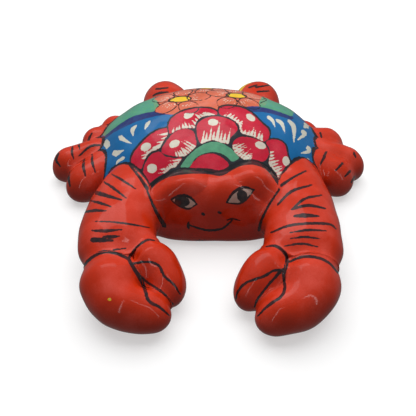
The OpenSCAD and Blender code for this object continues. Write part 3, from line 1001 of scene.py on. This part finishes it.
seen_from_above("salmon", CROWN_GROUND)
stroke_from_above("green", CROWN_RIM, (5, 7, 7, 7, 5))
inner_rim = [(x * RIM_INNER_SHARE, CROWN_MIDDLE_Y + (y - CROWN_MIDDLE_Y) * RIM_INNER_SHARE)
             for x, y in CROWN_RIM]
stroke_from_above("ink", inner_rim, (1.0, 1.4, 1.2, 1.0))
stroke_from_above("navy", REAR_NAVY, (3, 4, 5, 4, 3))
for middle, heart, turn in CROWN_FLOWERS:
    for k in range(CROWN_PETALS):
        angle = math.radians(turn + 360 * k / CROWN_PETALS)
        out = np.array([math.cos(angle), math.sin(angle)])
        centre = np.array(middle) + out * PETAL_REACH
        petal = oval(centre, PETAL_SIZES, -math.degrees(angle), 10)
        cover(("ink", "white"), petal)
        stroke_from_above("ink", petal, (1.0, 1.3, 0.9), closed=True)
        for streak in range(PETAL_STREAKS):
            swing = angle + (streak - (PETAL_STREAKS - 1) / 2) * STREAK_SWING
            way = np.array([math.cos(swing), math.sin(swing)])
            start = np.array(middle) + way * flicks.uniform(*STREAK_START)
            stroke_from_above("white", [start, start + way * flicks.uniform(*STREAK_PULL)], (0.7, 0.15))
    heart_line = oval(middle, (heart[0] + 1, heart[1] + 1), 0, 10)
    stroke_from_above("ink", heart_line, (1.6, 2.0, 1.4), closed=True)
    seen_from_above("yellow", oval(middle, heart, 0, 12))
for side in (-1, 1):
    for x, y, dx, dy in REAR_COMMAS:
        stroke_from_above("white", [(side * x, y), (side * (x + dx * 0.6), y + dy * 0.4),
                                    (side * (x + dx), y + dy)], (1.2, 3.2, 0.6))
print("crown painted with", len(CROWN_FLOWERS), "flowers")

# %% [markdown]
# The red pods carry only quick black lines: joints, knuckles and hairs, each one pull of a brush.
# A line on one part of a claw may run over onto the next part, so all three are painted together.

# %% Black lines on the arms and claws
ARM_LINES = {
    "left_arm": {
        "hair_1": ([(111.2, 173.9), (122, 180), (136, 189.1)], (0.6, 1.3, 0.6)),
        "hair_2": ([(103.9, 181.8), (114, 188.5), (126.3, 198.2)], (0.8, 1.4, 0.6)),
        "hair_3": ([(96.1, 192.7), (108, 196), (122.1, 200)], (2.2, 1.8, 0.7)),
        "hair_4": ([(90, 200.6), (100, 203), (111.2, 206.6)], (0.7, 1.4, 0.7)),
        "hair_5": ([(84.5, 212.1), (95, 210.5), (106.4, 210.9)], (1.0, 1.5, 0.7)),
        "hair_6": ([(93, 221.2), (112, 222), (132, 224.5), (150, 227.9)], (0.5, 0.9, 1.0, 0.5)),
        "hair_7": ([(82.1, 267.8), (90, 259), (100.3, 252.7), (111.2, 252.1), (126.9, 258.1), (130.6, 263)],
         (1.0, 1.5, 1.7, 1.6, 1.5, 1.8)),
        "hair_8": ([(129.4, 256.9), (137.9, 246), (147.5, 240), (154.8, 240.6)], (1.5, 1.2, 1.1, 0.6)),
    },
    "right_arm": {
        "hair_1": ([(277.6, 204.8), (291.5, 191.5), (312.1, 184.8)], (1.0, 1.5, 0.8)),
        "hair_2": ([(291.5, 209.7), (304.8, 198.8), (321.8, 195.1)], (0.9, 1.4, 0.7)),
        "hair_3": ([(292, 209.7), (307.2, 205.4), (325.4, 208.5)], (0.9, 1.6, 0.8)),
        "hair_4": ([(293.9, 216), (306, 215.5), (319.4, 216.3)], (1.2, 2.2, 0.8)),
        "hair_5": ([(270.9, 232.7), (287.9, 226), (308, 223.5), (329.1, 224.2), (336.3, 229.1)],
         (0.9, 1.3, 1.4, 1.2, 0.6)),
        "hair_6": ([(289.7, 232.7), (308, 230), (326.6, 230.9)], (0.6, 1.3, 0.6)),
        "hair_7": ([(290.3, 238.5), (305, 237), (320.6, 238.8)], (0.6, 1.2, 0.6)),
        "hair_8": ([(284.2, 246.3), (301.2, 243.6), (318.1, 247)], (0.6, 1.2, 0.6)),
        "hair_9": ([(289.1, 261.8), (302.4, 256.9), (316.9, 257.5), (329.1, 263), (338.1, 273.3)],
         (1.0, 1.4, 1.5, 1.2, 0.9)),
        "hair_10": ([(266, 246.6), (275.7, 246), (284.2, 252.1), (287.2, 259.4), (285.4, 269.1)],
         (0.8, 1.4, 1.7, 1.8, 2.0)),
    },
    "left_claw_finger": {
        "hair_1": ([(130.6, 263), (142.7, 278.7), (162.1, 292.1), (173, 304.2)], (1.6, 1.3, 1.2, 0.7)),
        "hair_2": ([(130.6, 263), (142.7, 283.6), (148.8, 300.6), (159.7, 307.2), (169.4, 315.7)],
         (1.8, 1.8, 1.6, 1.4, 0.7)),
    },
    "left_claw_thumb": {
        "hair_1": ([(133, 263.6), (147.5, 261.8), (158.5, 265.4), (164.5, 276.3), (173, 283.6),
                    (180.3, 294.5)],
         (1.3, 1.2, 1.3, 1.4, 1.2, 0.7)),
    },
    "right_claw_finger": {
        "hair_1": ([(285.4, 269.1), (283.6, 276.3), (284.8, 288.4), (280.6, 296.9), (268.5, 305.4),
                    (257.6, 316.3)],
         (1.9, 1.5, 1.5, 1.5, 1.4, 0.7)),
        "hair_2": ([(283, 269.1), (268.5, 284.8), (257.6, 299.3), (254.5, 307.2)], (1.5, 1.3, 1.2, 0.7)),
    },
    "right_claw_thumb": {
        "hair_1": ([(280.6, 269.7), (273.3, 270.9), (262.4, 276.9), (246.7, 282.4), (238.2, 290.9),
                    (235.8, 299.3)],
         (1.3, 1.3, 1.4, 1.3, 1.2, 0.7)),
    },
}
LOADED_BRUSH = 2.1
CLAW_PIECES = {side: [f"{side}_arm", f"{side}_claw_finger", f"{side}_claw_thumb"] for side in SIDES}
for piece, lines in ARM_LINES.items():
    mates = [other for other in CLAW_PIECES[piece.split("_")[0]] if other != piece]
    for line, widths in lines.values():
        stroke([piece] + mates, "ink", line, widths, LOADED_BRUSH)
# A dry brush was dragged over the left arm, and a fleck of yellow fell on the finger
SMUDGES = {
    "upper": ([(92, 230.5), (107, 231), (122, 229.5)], (2.2, 3.4, 1.2)),
    "lower_left": ([(92, 240), (103, 240), (113, 240.5)], (5.2, 4.6, 1.6)),
    "lower_right": ([(103, 236.5), (112, 236.8), (120, 236)], (2.0, 3.4, 1.4)),
    "near_joint": ([(113, 250), (126, 248.2)], (2.2, 1.2)),
}
for line, widths in SMUDGES.values():
    stroke(("left_arm",), "ink", line, widths)
FLECK = (109.4, 299.3)
patch(("left_claw_finger",), "yellow", oval(FLECK, (1.9, 1.5), 0))
# The fleck's pale middle takes the same greyed white as the eyes
patch(("left_claw_finger",), "shaded_white", oval(FLECK, (0.9, 0.7), 0))
print("claws lined:", sum(len(lines) for lines in ARM_LINES.values()), "lines")

# %% [markdown]
# The legs and paddles have fewer and shorter lines. Only the ones that the picture shows are painted,
# so the sides that it hides stay plain.

# %% Black lines on the legs and paddles
LEG_LINES = {
    "left_leg_1": {
        "hair_1": ([(69.1, 169.5), (68.5, 178), (70.1, 186.7)], (0.8, 1.4, 0.7)),
        "hair_2": ([(84, 157.1), (83.5, 167), (85.9, 177.1)], (0.8, 1.5, 0.7)),
        "hair_3": ([(92.1, 153.2), (92.5, 163), (95.4, 172.4)], (0.8, 1.4, 0.7)),
    },
    "left_leg_2": {
        "hair_1": ([(58.6, 153.2), (56.2, 159.9), (60.5, 166.6)], (0.8, 1.3, 0.7)),
        "hair_2": ([(72.5, 146.5), (72, 153), (73.7, 159)], (0.8, 1.3, 0.7)),
        "hair_3": ([(78.7, 143.7), (79.7, 149.4)], (1.1, 0.7)),
        "hair_4": ([(99.7, 145.1), (90.2, 146.5), (78.7, 156.1)], (1.1, 1.3, 0.8)),
    },
    "left_leg_3": {"hair_1": ([(92.1, 133.1), (89, 139), (88.7, 146.5)], (0.8, 1.3, 0.7))},
    "left_leg_4": {"hair_1": ([(102.6, 126.4), (108.4, 127.9)], (1.2, 0.8))},
    "right_leg_1": {
        "hair_1": ([(327.1, 149.9), (324, 157), (320.4, 165.2)], (0.8, 1.4, 0.7)),
        "hair_2": ([(342.5, 163.3), (335.3, 171)], (1.3, 0.8)),
        "hair_3": ([(350.1, 171), (344.8, 176.7)], (1.3, 0.8)),
        "hair_4": ([(354.9, 176.7), (351.1, 182.5)], (1.2, 0.8)),
    },
    "right_leg_2": {"hair_1": ([(353.9, 152.8), (355.8, 157.6)], (1.2, 0.8))},
    "right_leg_3": {"hair_1": ([(320.4, 132.7), (321.4, 137.5)], (1.2, 0.8))},
    "left_paddle": {
        "hair_1": ([(155.8, 89.1), (168.2, 87.7)], (1.0, 0.7)),
        "hair_2": ([(152.9, 95.8), (159.1, 93), (168.2, 92)], (0.8, 1.2, 0.7)),
    },
    "right_paddle": {
        "hair_1": ([(255.7, 87.3), (269.2, 85.2)], (1.0, 0.7)),
        "hair_2": ([(257.3, 91.7), (269.2, 90.9)], (1.0, 0.7)),
        "hair_3": ([(249, 87.5), (257, 85)], (0.9, 0.7)),
    },
}
for piece, lines in LEG_LINES.items():
    for line, widths in lines.values():
        stroke([piece], "ink", line, widths, LOADED_BRUSH)
# Along the inner edge of the right paddle yellow shows instead of its ground colour
PADDLE_EDGE = [
    (239, 93), (239.5, 86), (244, 82), (250, 80), (256, 79.5), (252, 82.5), (246.5, 85), (243, 88.5)]
patch(("right_paddle",), "yellow", PADDLE_EDGE)
print("legs lined:", sum(len(lines) for lines in LEG_LINES.values()), "lines")

# %% [markdown]
# The face is a few strokes on the front of the head. An eye is a greyed white patch, painted shade for
# the shaded face, with a black iris, and the two lids are pulled over its edge last. The line round the
# head is the heaviest of all. It lies partly on the head and partly on the shell behind it.

# %% The face
HEAD_LINES = {
    "left_side": ([(147.3, 191), (155, 209.5), (164.6, 226)], (1.6, 2.2, 3.4)),
    "right_side": ([(279.4, 189), (268.5, 206), (261.8, 219.4), (258.8, 230.5)], (1.6, 1.6, 2.0, 2.4)),
    "left_nostril": ([(202.2, 213.6), (204.2, 214.8)], (2.2, 1.8)),
    "right_nostril": ([(218.8, 212.2), (221, 213)], (2.2, 1.8)),
    "mouth": ([(190.2, 225.4), (202.1, 229.3), (211.9, 230.4), (223.2, 227.9), (232.3, 220.2)],
              (1.2, 1.5, 1.6, 1.5, 1.2)),
    "left_mouth_corner": ([(188.6, 222), (188.2, 225.5), (188.8, 229)], (1.4, 2.2, 1.2)),
    "right_mouth_corner": ([(226.7, 220.2), (232.3, 218.8), (239.6, 220.5)], (0.7, 1.3, 0.7)),
}
FACE_LOAD = 1.45
SHOULDER_LOAD = 1.3
for line, widths in HEAD_LINES.values():
    stroke(("head", "left_arm", "right_arm"), "ink", line, widths, FACE_LOAD)
# The outline of the head lies on its upper edge and on the shell behind it
HEAD_OUTLINE = [
    (147.3, 188.6), (156.4, 181.2), (168.5, 174.6), (184.2, 171.4), (195.2, 170.6), (209.7, 171.2),
    (221.5, 173), (232.7, 166.2), (244.8, 162.1), (257, 162.7), (269.1, 169.2), (281.2, 186.4)]
HEAD_OUTLINE_WIDTHS = (3.4, 5.0, 6.2, 6.4, 5.6, 6.2, 5.4, 4.0)
for piece, load in (("carapace", 0.8), ("head", 1.0)):
    stroke((piece,), "ink", HEAD_OUTLINE, HEAD_OUTLINE_WIDTHS, load)
SHOULDERS = {
    "left": ([(129, 164.5), (138.5, 176), (147.3, 188.6)], (1.4, 2.2, 3.0)),
    "right": ([(281, 185.6), (293, 177.5), (306, 170.9)], (2.6, 1.8, 1.4)),
}
for side in SIDES:
    stroke(("carapace", f"{side}_arm"), "ink", *SHOULDERS[side], SHOULDER_LOAD)
EYES = {
    "left": {
        "white": [(172.5, 200.6), (177, 197.6), (184, 196.6), (190.5, 198.8), (196, 204), (190.5, 207.6),
                  (184, 207.4), (177, 204.4)],
        "upper_lid": ([(170.6, 199.8), (176.5, 196.6), (183.9, 195.6), (191, 198), (197.3, 204.4)],
                      (1.6, 2.8, 3.2, 2.8, 1.6)),
        "lower_lid": ([(171.4, 200.5), (178, 205.4), (184.5, 208.2), (190.2, 208.4), (196.6, 204.2)],
                      (1.2, 1.8, 2.0, 1.8, 1.2)),
        "iris": ((182.2, 201.3), (7.6, 5.2), -8)},
    "right": {
        "white": [(227.5, 201.8), (232, 195.6), (238, 190.8), (245.3, 188.6), (253, 190.6), (249.6, 197),
                  (244, 201.8), (238.5, 203), (232, 203)],
        "upper_lid": ([(226.4, 203), (231, 195.4), (237.4, 189.6), (245.3, 187.4), (254.3, 190)],
                      (1.4, 2.6, 3.2, 2.8, 1.6)),
        "lower_lid": ([(227, 202.6), (233, 203.6), (239.3, 203.7), (246, 200), (253.7, 190.8)],
                      (1.2, 1.7, 1.9, 1.7, 1.2)),
        "iris": ((242.0, 195.9), (5.2, 6.2), 20)},
}
# Each eye white is a greyed white, painted shade for the shade that lies on the front of the face
for eye_paint in EYES.values():
    patch(("head",), "shaded_white", eye_paint["white"])
    patch(("head",), "ink", oval(*eye_paint["iris"]))
    for lid in ("upper_lid", "lower_lid"):
        stroke(("head",), "ink", *eye_paint[lid])
print("face painted, with", len(EYES), "eyes")

# %% [markdown]
# Last comes the line along each joint of the shell, pulled with a loaded brush. It needs no picture
# points, because the distance of every point from the joint is known from the wiping.

# %% Lines along the joints
# half width of the line in mm on the shell, and on the pod that joins it
JOINT_LINES = {"head": (1.9, 1.1), "arm": (1.2, 1.0), "leg": (1.3, 1.1), "paddle": (1.0, 0.8)}
# The brush is pressed a little more and less along the way
PRESS, PRESS_PACE = 0.25, np.array([0.31, 0.23, 0.17])
for a, b, _ in JOINTS:
    kind = next((k for k in JOINT_LINES if k in b), None)
    if a != "carapace" or kind is None:
        continue
    for piece, other, wide in zip((a, b), (b, a), JOINT_LINES[kind]):
        pressed = PRESS * np.sin(finished[piece] @ PRESS_PACE + len(b))
        # Not on the buried side and not underneath, where the glaze was wiped off
        from_joint, from_table = np.abs(wiped[piece][1][other]), finished[piece][:, 2] - FOOT_ROLL / 3
        depth = np.clip(np.minimum(wide + pressed - from_joint, from_table), -DEPTH_LIMIT, DEPTH_LIMIT)
        paint[piece]["ink"] = np.maximum(paint[piece]["ink"], depth)
print("joints lined")

# %% [markdown]
# The finish has two layers. Under it is the painted slip, matt and a little uneven. Over it is clear
# glaze, which is a second, mirror-like layer of the shader called the coat. A touch of paint is laid
# by one small node group, used once for each colour in the order of the painter's work.

# %% Helpers for the finish
def linear(red, green, blue):
    """A colour as it looks on screen, turned into amounts of light."""
    return tuple((v / 255 / 12.92) if v < 11 else ((v / 255 + 0.055) / 1.055) ** 2.4
                 for v in (red, green, blue)) + (1.0,)


def new_group(name, inputs, outputs):
    """An empty shader group with named sockets. Returns it with its inner ends."""
    tree = bpy.data.node_groups.new(name, "ShaderNodeTree")
    for label, kind in outputs:
        tree.interface.new_socket(label, in_out="OUTPUT", socket_type="NodeSocket" + kind)
    for label, kind, value in inputs:
        socket = tree.interface.new_socket(label, in_out="INPUT", socket_type="NodeSocket" + kind)
        socket.default_value = value
    return tree, tree.nodes.new("NodeGroupInput").outputs, tree.nodes.new("NodeGroupOutput").inputs


def noise(tree, scale, detail=2.0):
    """Noise fixed to the object, with features of about one metre divided by the scale."""
    place = add(tree, "ShaderNodeTexCoord", output="Object")
    return add(tree, "ShaderNodeTexNoise", {"Vector": place, "Scale": scale, "Detail": detail})


def spread(tree, value, low, high, from_low=0.3, from_high=0.7):
    """Stretches the middle of a noise, where nearly all of its values lie, over a range."""
    return add(tree, "ShaderNodeMapRange", {0: value, 1: from_low, 2: from_high, 3: low, 4: high})

print("a mid grey on screen is", round(linear(128, 128, 128)[0], 3), "of the light")

# %% Node groups of the finish
def build_brush_layer():
    """Lays one colour over what is under it, wherever the paint's depth is above nought."""
    tree, given, result = new_group(
        "brush_layer",
        [("Under", "Color", (1, 1, 1, 1)), ("Paint", "Color", (0, 0, 0, 1)), ("Depth", "Float", 0.0),
         ("Feather", "Float", 0.16), ("Cover", "Float", 1.0)],
        [("Color", "Color")])
    # The edge wanders by a few tenths of a millimetre, and dry spots let the colour beneath through
    wander = spread(tree, noise(tree, 420), -0.28, 0.28)
    depth = calc(tree, "ADD", given["Depth"], wander)
    low = calc(tree, "SUBTRACT", DEPTH_LIMIT, given["Feather"])
    high = calc(tree, "ADD", DEPTH_LIMIT, given["Feather"])
    mask = add(tree, "ShaderNodeMapRange", {0: depth, 1: low, 2: high, 3: 0.0, 4: 1.0},
               interpolation_type="SMOOTHSTEP")
    dry = spread(tree, noise(tree, 260, 4.0), 1.0, given["Cover"], 0.35, 0.75)
    factor = calc(tree, "MULTIPLY", mask, dry)
    tree.links.new(add(tree, "ShaderNodeMix", {0: factor, 6: given["Under"], 7: given["Paint"]},
                       output=2, data_type="RGBA"), result["Color"])
    return tree


def build_glaze_surface():
    """What the kiln does to any colour: it pools, shines unevenly and swells."""
    tree, given, result = new_group(
        "glaze_surface", [("Slip", "Color", (1, 1, 1, 1)), ("Unevenness", "Float", 0.12)],
        [("Base Color", "Color"), ("Roughness", "Float"), ("Coat Weight", "Float"), ("Height", "Float")])
    # Slip pools thicker in some places, so the same colour comes out lighter and darker
    pooled = spread(tree, noise(tree, 45, 3.0), 1.0, -1.0)
    grain = spread(tree, noise(tree, 900, 2.0), 0.25, -0.25)
    change = calc(tree, "MULTIPLY", calc(tree, "ADD", pooled, grain), given["Unevenness"])
    tree.links.new(add(tree, "ShaderNodeHueSaturation", {
        "Color": given["Slip"], "Value": calc(tree, "ADD", 1.0, change),
        "Saturation": calc(tree, "SUBTRACT", 1.0, calc(tree, "MULTIPLY", change, 0.3))}),
        result["Base Color"])
    tree.links.new(spread(tree, noise(tree, 120, 2.0), 0.42, 0.55), result["Roughness"])
    tree.links.new(spread(tree, noise(tree, 25, 1.0), 0.92, 1.0), result["Coat Weight"])
    # Glaze melts nearly smooth, with the faint swell of orange peel
    swell = calc(tree, "ADD", noise(tree, 160, 1.0), calc(tree, "MULTIPLY", noise(tree, 700, 1.0), 0.12))
    tree.links.new(swell, result["Height"])
    return tree

brush_layer = build_brush_layer()
glaze_surface = build_glaze_surface()
print("finish groups:", brush_layer.name, "and", glaze_surface.name)

# %% Glazed materials
# colour of the slip on screen, softness of its edge in mm, and how well it covers where it is thin
SLIPS = {
    "green": ((84, 154, 118), 0.25, 0.75),
    "navy": ((40, 44, 102), 0.35, 0.7),
    "salmon": ((206, 102, 70), 0.25, 0.9),
    "black": ((38, 38, 42), 0.16, 0.96),
    "crimson": ((192, 14, 48), 0.16, 0.85),
    "yellow": ((222, 184, 30), 0.16, 0.9),
    "white": ((204, 202, 186), 0.14, 0.85),
    # A greyed white for the eye whites: painted shade for the shade that lies on the front of the face. The
    # fleck's pale middle takes it too
    "shaded_white": ((176, 152, 140), 0.14, 0.85),
    "ink": ((26, 26, 30), 0.14, 0.9),
}
# The red pods take yellow, the greyed white that paints shade into the eyes, and ink
POD_COLOURS = ("yellow", "shaded_white", "ink")
RED_GROUND = (190, 44, 14)
BLUE_GROUND = (0, 98, 156)


def use_group(tree, group, **inputs):
    """Places a group in a material with its own values, and returns its outputs."""
    node = tree.nodes.new("ShaderNodeGroup")
    node.node_tree = group
    for key, value in inputs.items():
        socket = node.inputs[key.replace("_", " ")]
        if isinstance(value, bpy.types.NodeSocket):
            tree.links.new(value, socket)
        else:
            socket.default_value = value
    return node.outputs


def glazed(name, ground, colours):
    """A glazed material: the ground colour, then each colour in the painter's order, then the coat."""
    material = bpy.data.materials.new(name)
    material.use_nodes = True
    tree = material.node_tree
    shader = tree.nodes["Principled BSDF"]
    slip = add(tree, "ShaderNodeRGB")
    slip.default_value = linear(*ground)
    for colour in colours:
        shade, feather, cover = SLIPS[colour]
        depth = add(tree, "ShaderNodeAttribute", output="Fac", attribute_name="paint_" + colour)
        slip = use_group(tree, brush_layer, Under=slip, Paint=linear(*shade), Depth=depth,
                         Feather=feather, Cover=cover)["Color"]
    surface = use_group(tree, glaze_surface, Slip=slip)
    for socket in ("Base Color", "Roughness", "Coat Weight"):
        tree.links.new(surface[socket], shader.inputs[socket])
    bump = add(tree, "ShaderNodeBump", {"Height": surface["Height"], "Strength": 0.12, "Distance": 0.0006})
    tree.links.new(bump, shader.inputs["Normal"])
    tree.links.new(bump, shader.inputs["Coat Normal"])
    # Glaze is glass, so the coat bends light like glass, and the slip beneath it hardly shines
    shader.inputs["Coat Roughness"].default_value = 0.08
    shader.inputs["Coat IOR"].default_value = 1.45
    shader.inputs["Specular IOR Level"].default_value = 0.2
    return material

painted_glaze = glazed("painted_glaze", BLUE_GROUND, COLOURS)
red_glaze = glazed("red_glaze", RED_GROUND, POD_COLOURS)
print("materials:", painted_glaze.name, red_glaze.name)

# %% [markdown]
# The underside stays bare. Fired clay is dull and pinkish, with dark grog and a rubbed, dusty look.

# %% Bare clay for the base plate
def bare_clay():
    material = bpy.data.materials.new("bare_clay")
    material.use_nodes = True
    tree = material.node_tree
    shader = tree.nodes["Principled BSDF"]
    mottled = add(tree, "ShaderNodeMix", {0: spread(tree, noise(tree, 60, 4.0), 0.0, 1.0),
                                         6: linear(186, 120, 88), 7: linear(205, 145, 112)},
                  output=2, data_type="RGBA")
    grog = spread(tree, noise(tree, 1500, 1.0), 0.0, 0.6, 0.68, 0.78)
    speckled = add(tree, "ShaderNodeMix", {0: grog, 6: mottled, 7: linear(120, 72, 52)},
                   output=2, data_type="RGBA")
    tree.links.new(speckled, shader.inputs["Base Color"])
    tree.links.new(spread(tree, noise(tree, 200, 2.0), 0.78, 0.95), shader.inputs["Roughness"])
    bump = add(tree, "ShaderNodeBump", {
        "Height": noise(tree, 800, 4.0), "Strength": 0.35, "Distance": 0.0005})
    tree.links.new(bump, shader.inputs["Normal"])
    return material

clay = bare_clay()
print("material:", clay.name)

# %% [markdown]
# Each pod becomes one object that stands for its solid. The paint goes along as one number per point
# and colour, counted from nought well outside an edge, so a skin without a colour simply has noughts.

# %% Pieces
def make_piece(name):
    """Turns one pod into the object that stands for its solid."""
    mesh = bpy.data.meshes.new(name + "_glazed")
    mesh.from_pydata((finished[name] * MM).tolist(), [], [list(map(int, f)) for f in pods[name][1]])
    mesh.shade_smooth()
    colours = COLOURS if name == "carapace" else POD_COLOURS
    for colour in colours:
        values = mesh.attributes.new("paint_" + colour, "FLOAT", "POINT")
        values.data.foreach_set("value", (paint[name][colour] + DEPTH_LIMIT).astype(np.float32))
    mesh.materials.append(painted_glaze if name == "carapace" else red_glaze)
    piece = bpy.data.objects.new(name + "_glazed", mesh)
    bpy.context.scene.collection.objects.link(piece)
    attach(piece, "root")
    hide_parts(name)
    return piece

glazed_pieces = [make_piece(name) for name in pods]
for node_object in bpy.context.scene.objects:
    if node_object.type == "MESH" and node_object.name.split(".")[0] == "base_plate":
        for slot in node_object.material_slots:
            slot.material = clay
print(len(glazed_pieces), "pieces,", sum(len(p.data.polygons) for p in glazed_pieces), "faces")

# %% [markdown]
# The studio is a white floor under softboxes, with paler light from the room. The floor lies a hair
# below the table's level, so that it doesn't flicker with the flat underside of the crab.

# %% Floor
FLOOR_LEVEL = -0.0002
FLOOR_HALF = 3
floor_mesh = bpy.data.meshes.new("floor")
floor_corners = [(x * FLOOR_HALF, y * FLOOR_HALF, FLOOR_LEVEL)
                 for x, y in ((-1, -1), (1, -1), (1, 1), (-1, 1))]
floor_mesh.from_pydata(floor_corners, [], [(0, 1, 2, 3)])
floor = bpy.data.objects.new("floor", floor_mesh)
bpy.context.scene.collection.objects.link(floor)
white = bpy.data.materials.new("white_floor")
white.use_nodes = True
paper = white.node_tree.nodes["Principled BSDF"].inputs
paper["Base Color"].default_value = (0.5, 0.5, 0.5, 1)
paper["Roughness"].default_value = 0.9
# A faint glow of its own stands for the light shining through the paper, and keeps the shadow pale
paper["Emission Color"].default_value = (1, 1, 1, 1)
paper["Emission Strength"].default_value = 0.5
floor_mesh.materials.append(white)
print("floor staged,", 2 * FLOOR_HALF, "m wide")

# %% [markdown]
# One wide box gives the light, and is kept out of the reflections, as a scrim would keep it in a
# studio. The floor throws nothing back on the clay either, because the face is dark in the picture.
# Smaller, dimmer boxes leave the soft streaks of shine on the glaze.

# %% Lights
LIGHTS_AIM = Vector((0, 0, 0.03))


def softbox(name, place, width, depth, power):
    """A flat lamp of a size in metres and a power in watts, turned to the crab."""
    data = bpy.data.lights.new(name, "AREA")
    data.shape = "RECTANGLE"
    data.size, data.size_y, data.energy = width, depth, power
    lamp = bpy.data.objects.new(name, data)
    bpy.context.scene.collection.objects.link(lamp)
    lamp.location = place
    lamp.rotation_euler = (LIGHTS_AIM - Vector(place)).to_track_quat("-Z", "Y").to_euler()
    return lamp

light_box = softbox("overhead_softbox", (0.0, 0.65, 1.15), 2.6, 1.8, 39)
light_box.visible_glossy = False
floor.visible_glossy = False
floor.visible_diffuse = False
softbox("shine_softbox", (-0.25, 0.75, 1.0), 0.9, 0.5, 1.2)
softbox("front_shine", (-0.5, -0.9, 0.9), 0.07, 1.5, 0.9)
softbox("right_shine", (0.7, -0.5, 0.9), 0.06, 1.5, 0.8)
world = bpy.data.worlds.new("room")
world.use_nodes = True
world.node_tree.nodes["Background"].inputs["Color"].default_value = (1, 1, 1, 1)
world.node_tree.nodes["Background"].inputs["Strength"].default_value = 0.15
bpy.context.scene.world = world
bpy.context.scene.view_settings.view_transform = "Standard"
print("studio lit by", len(bpy.data.lights), "boxes")
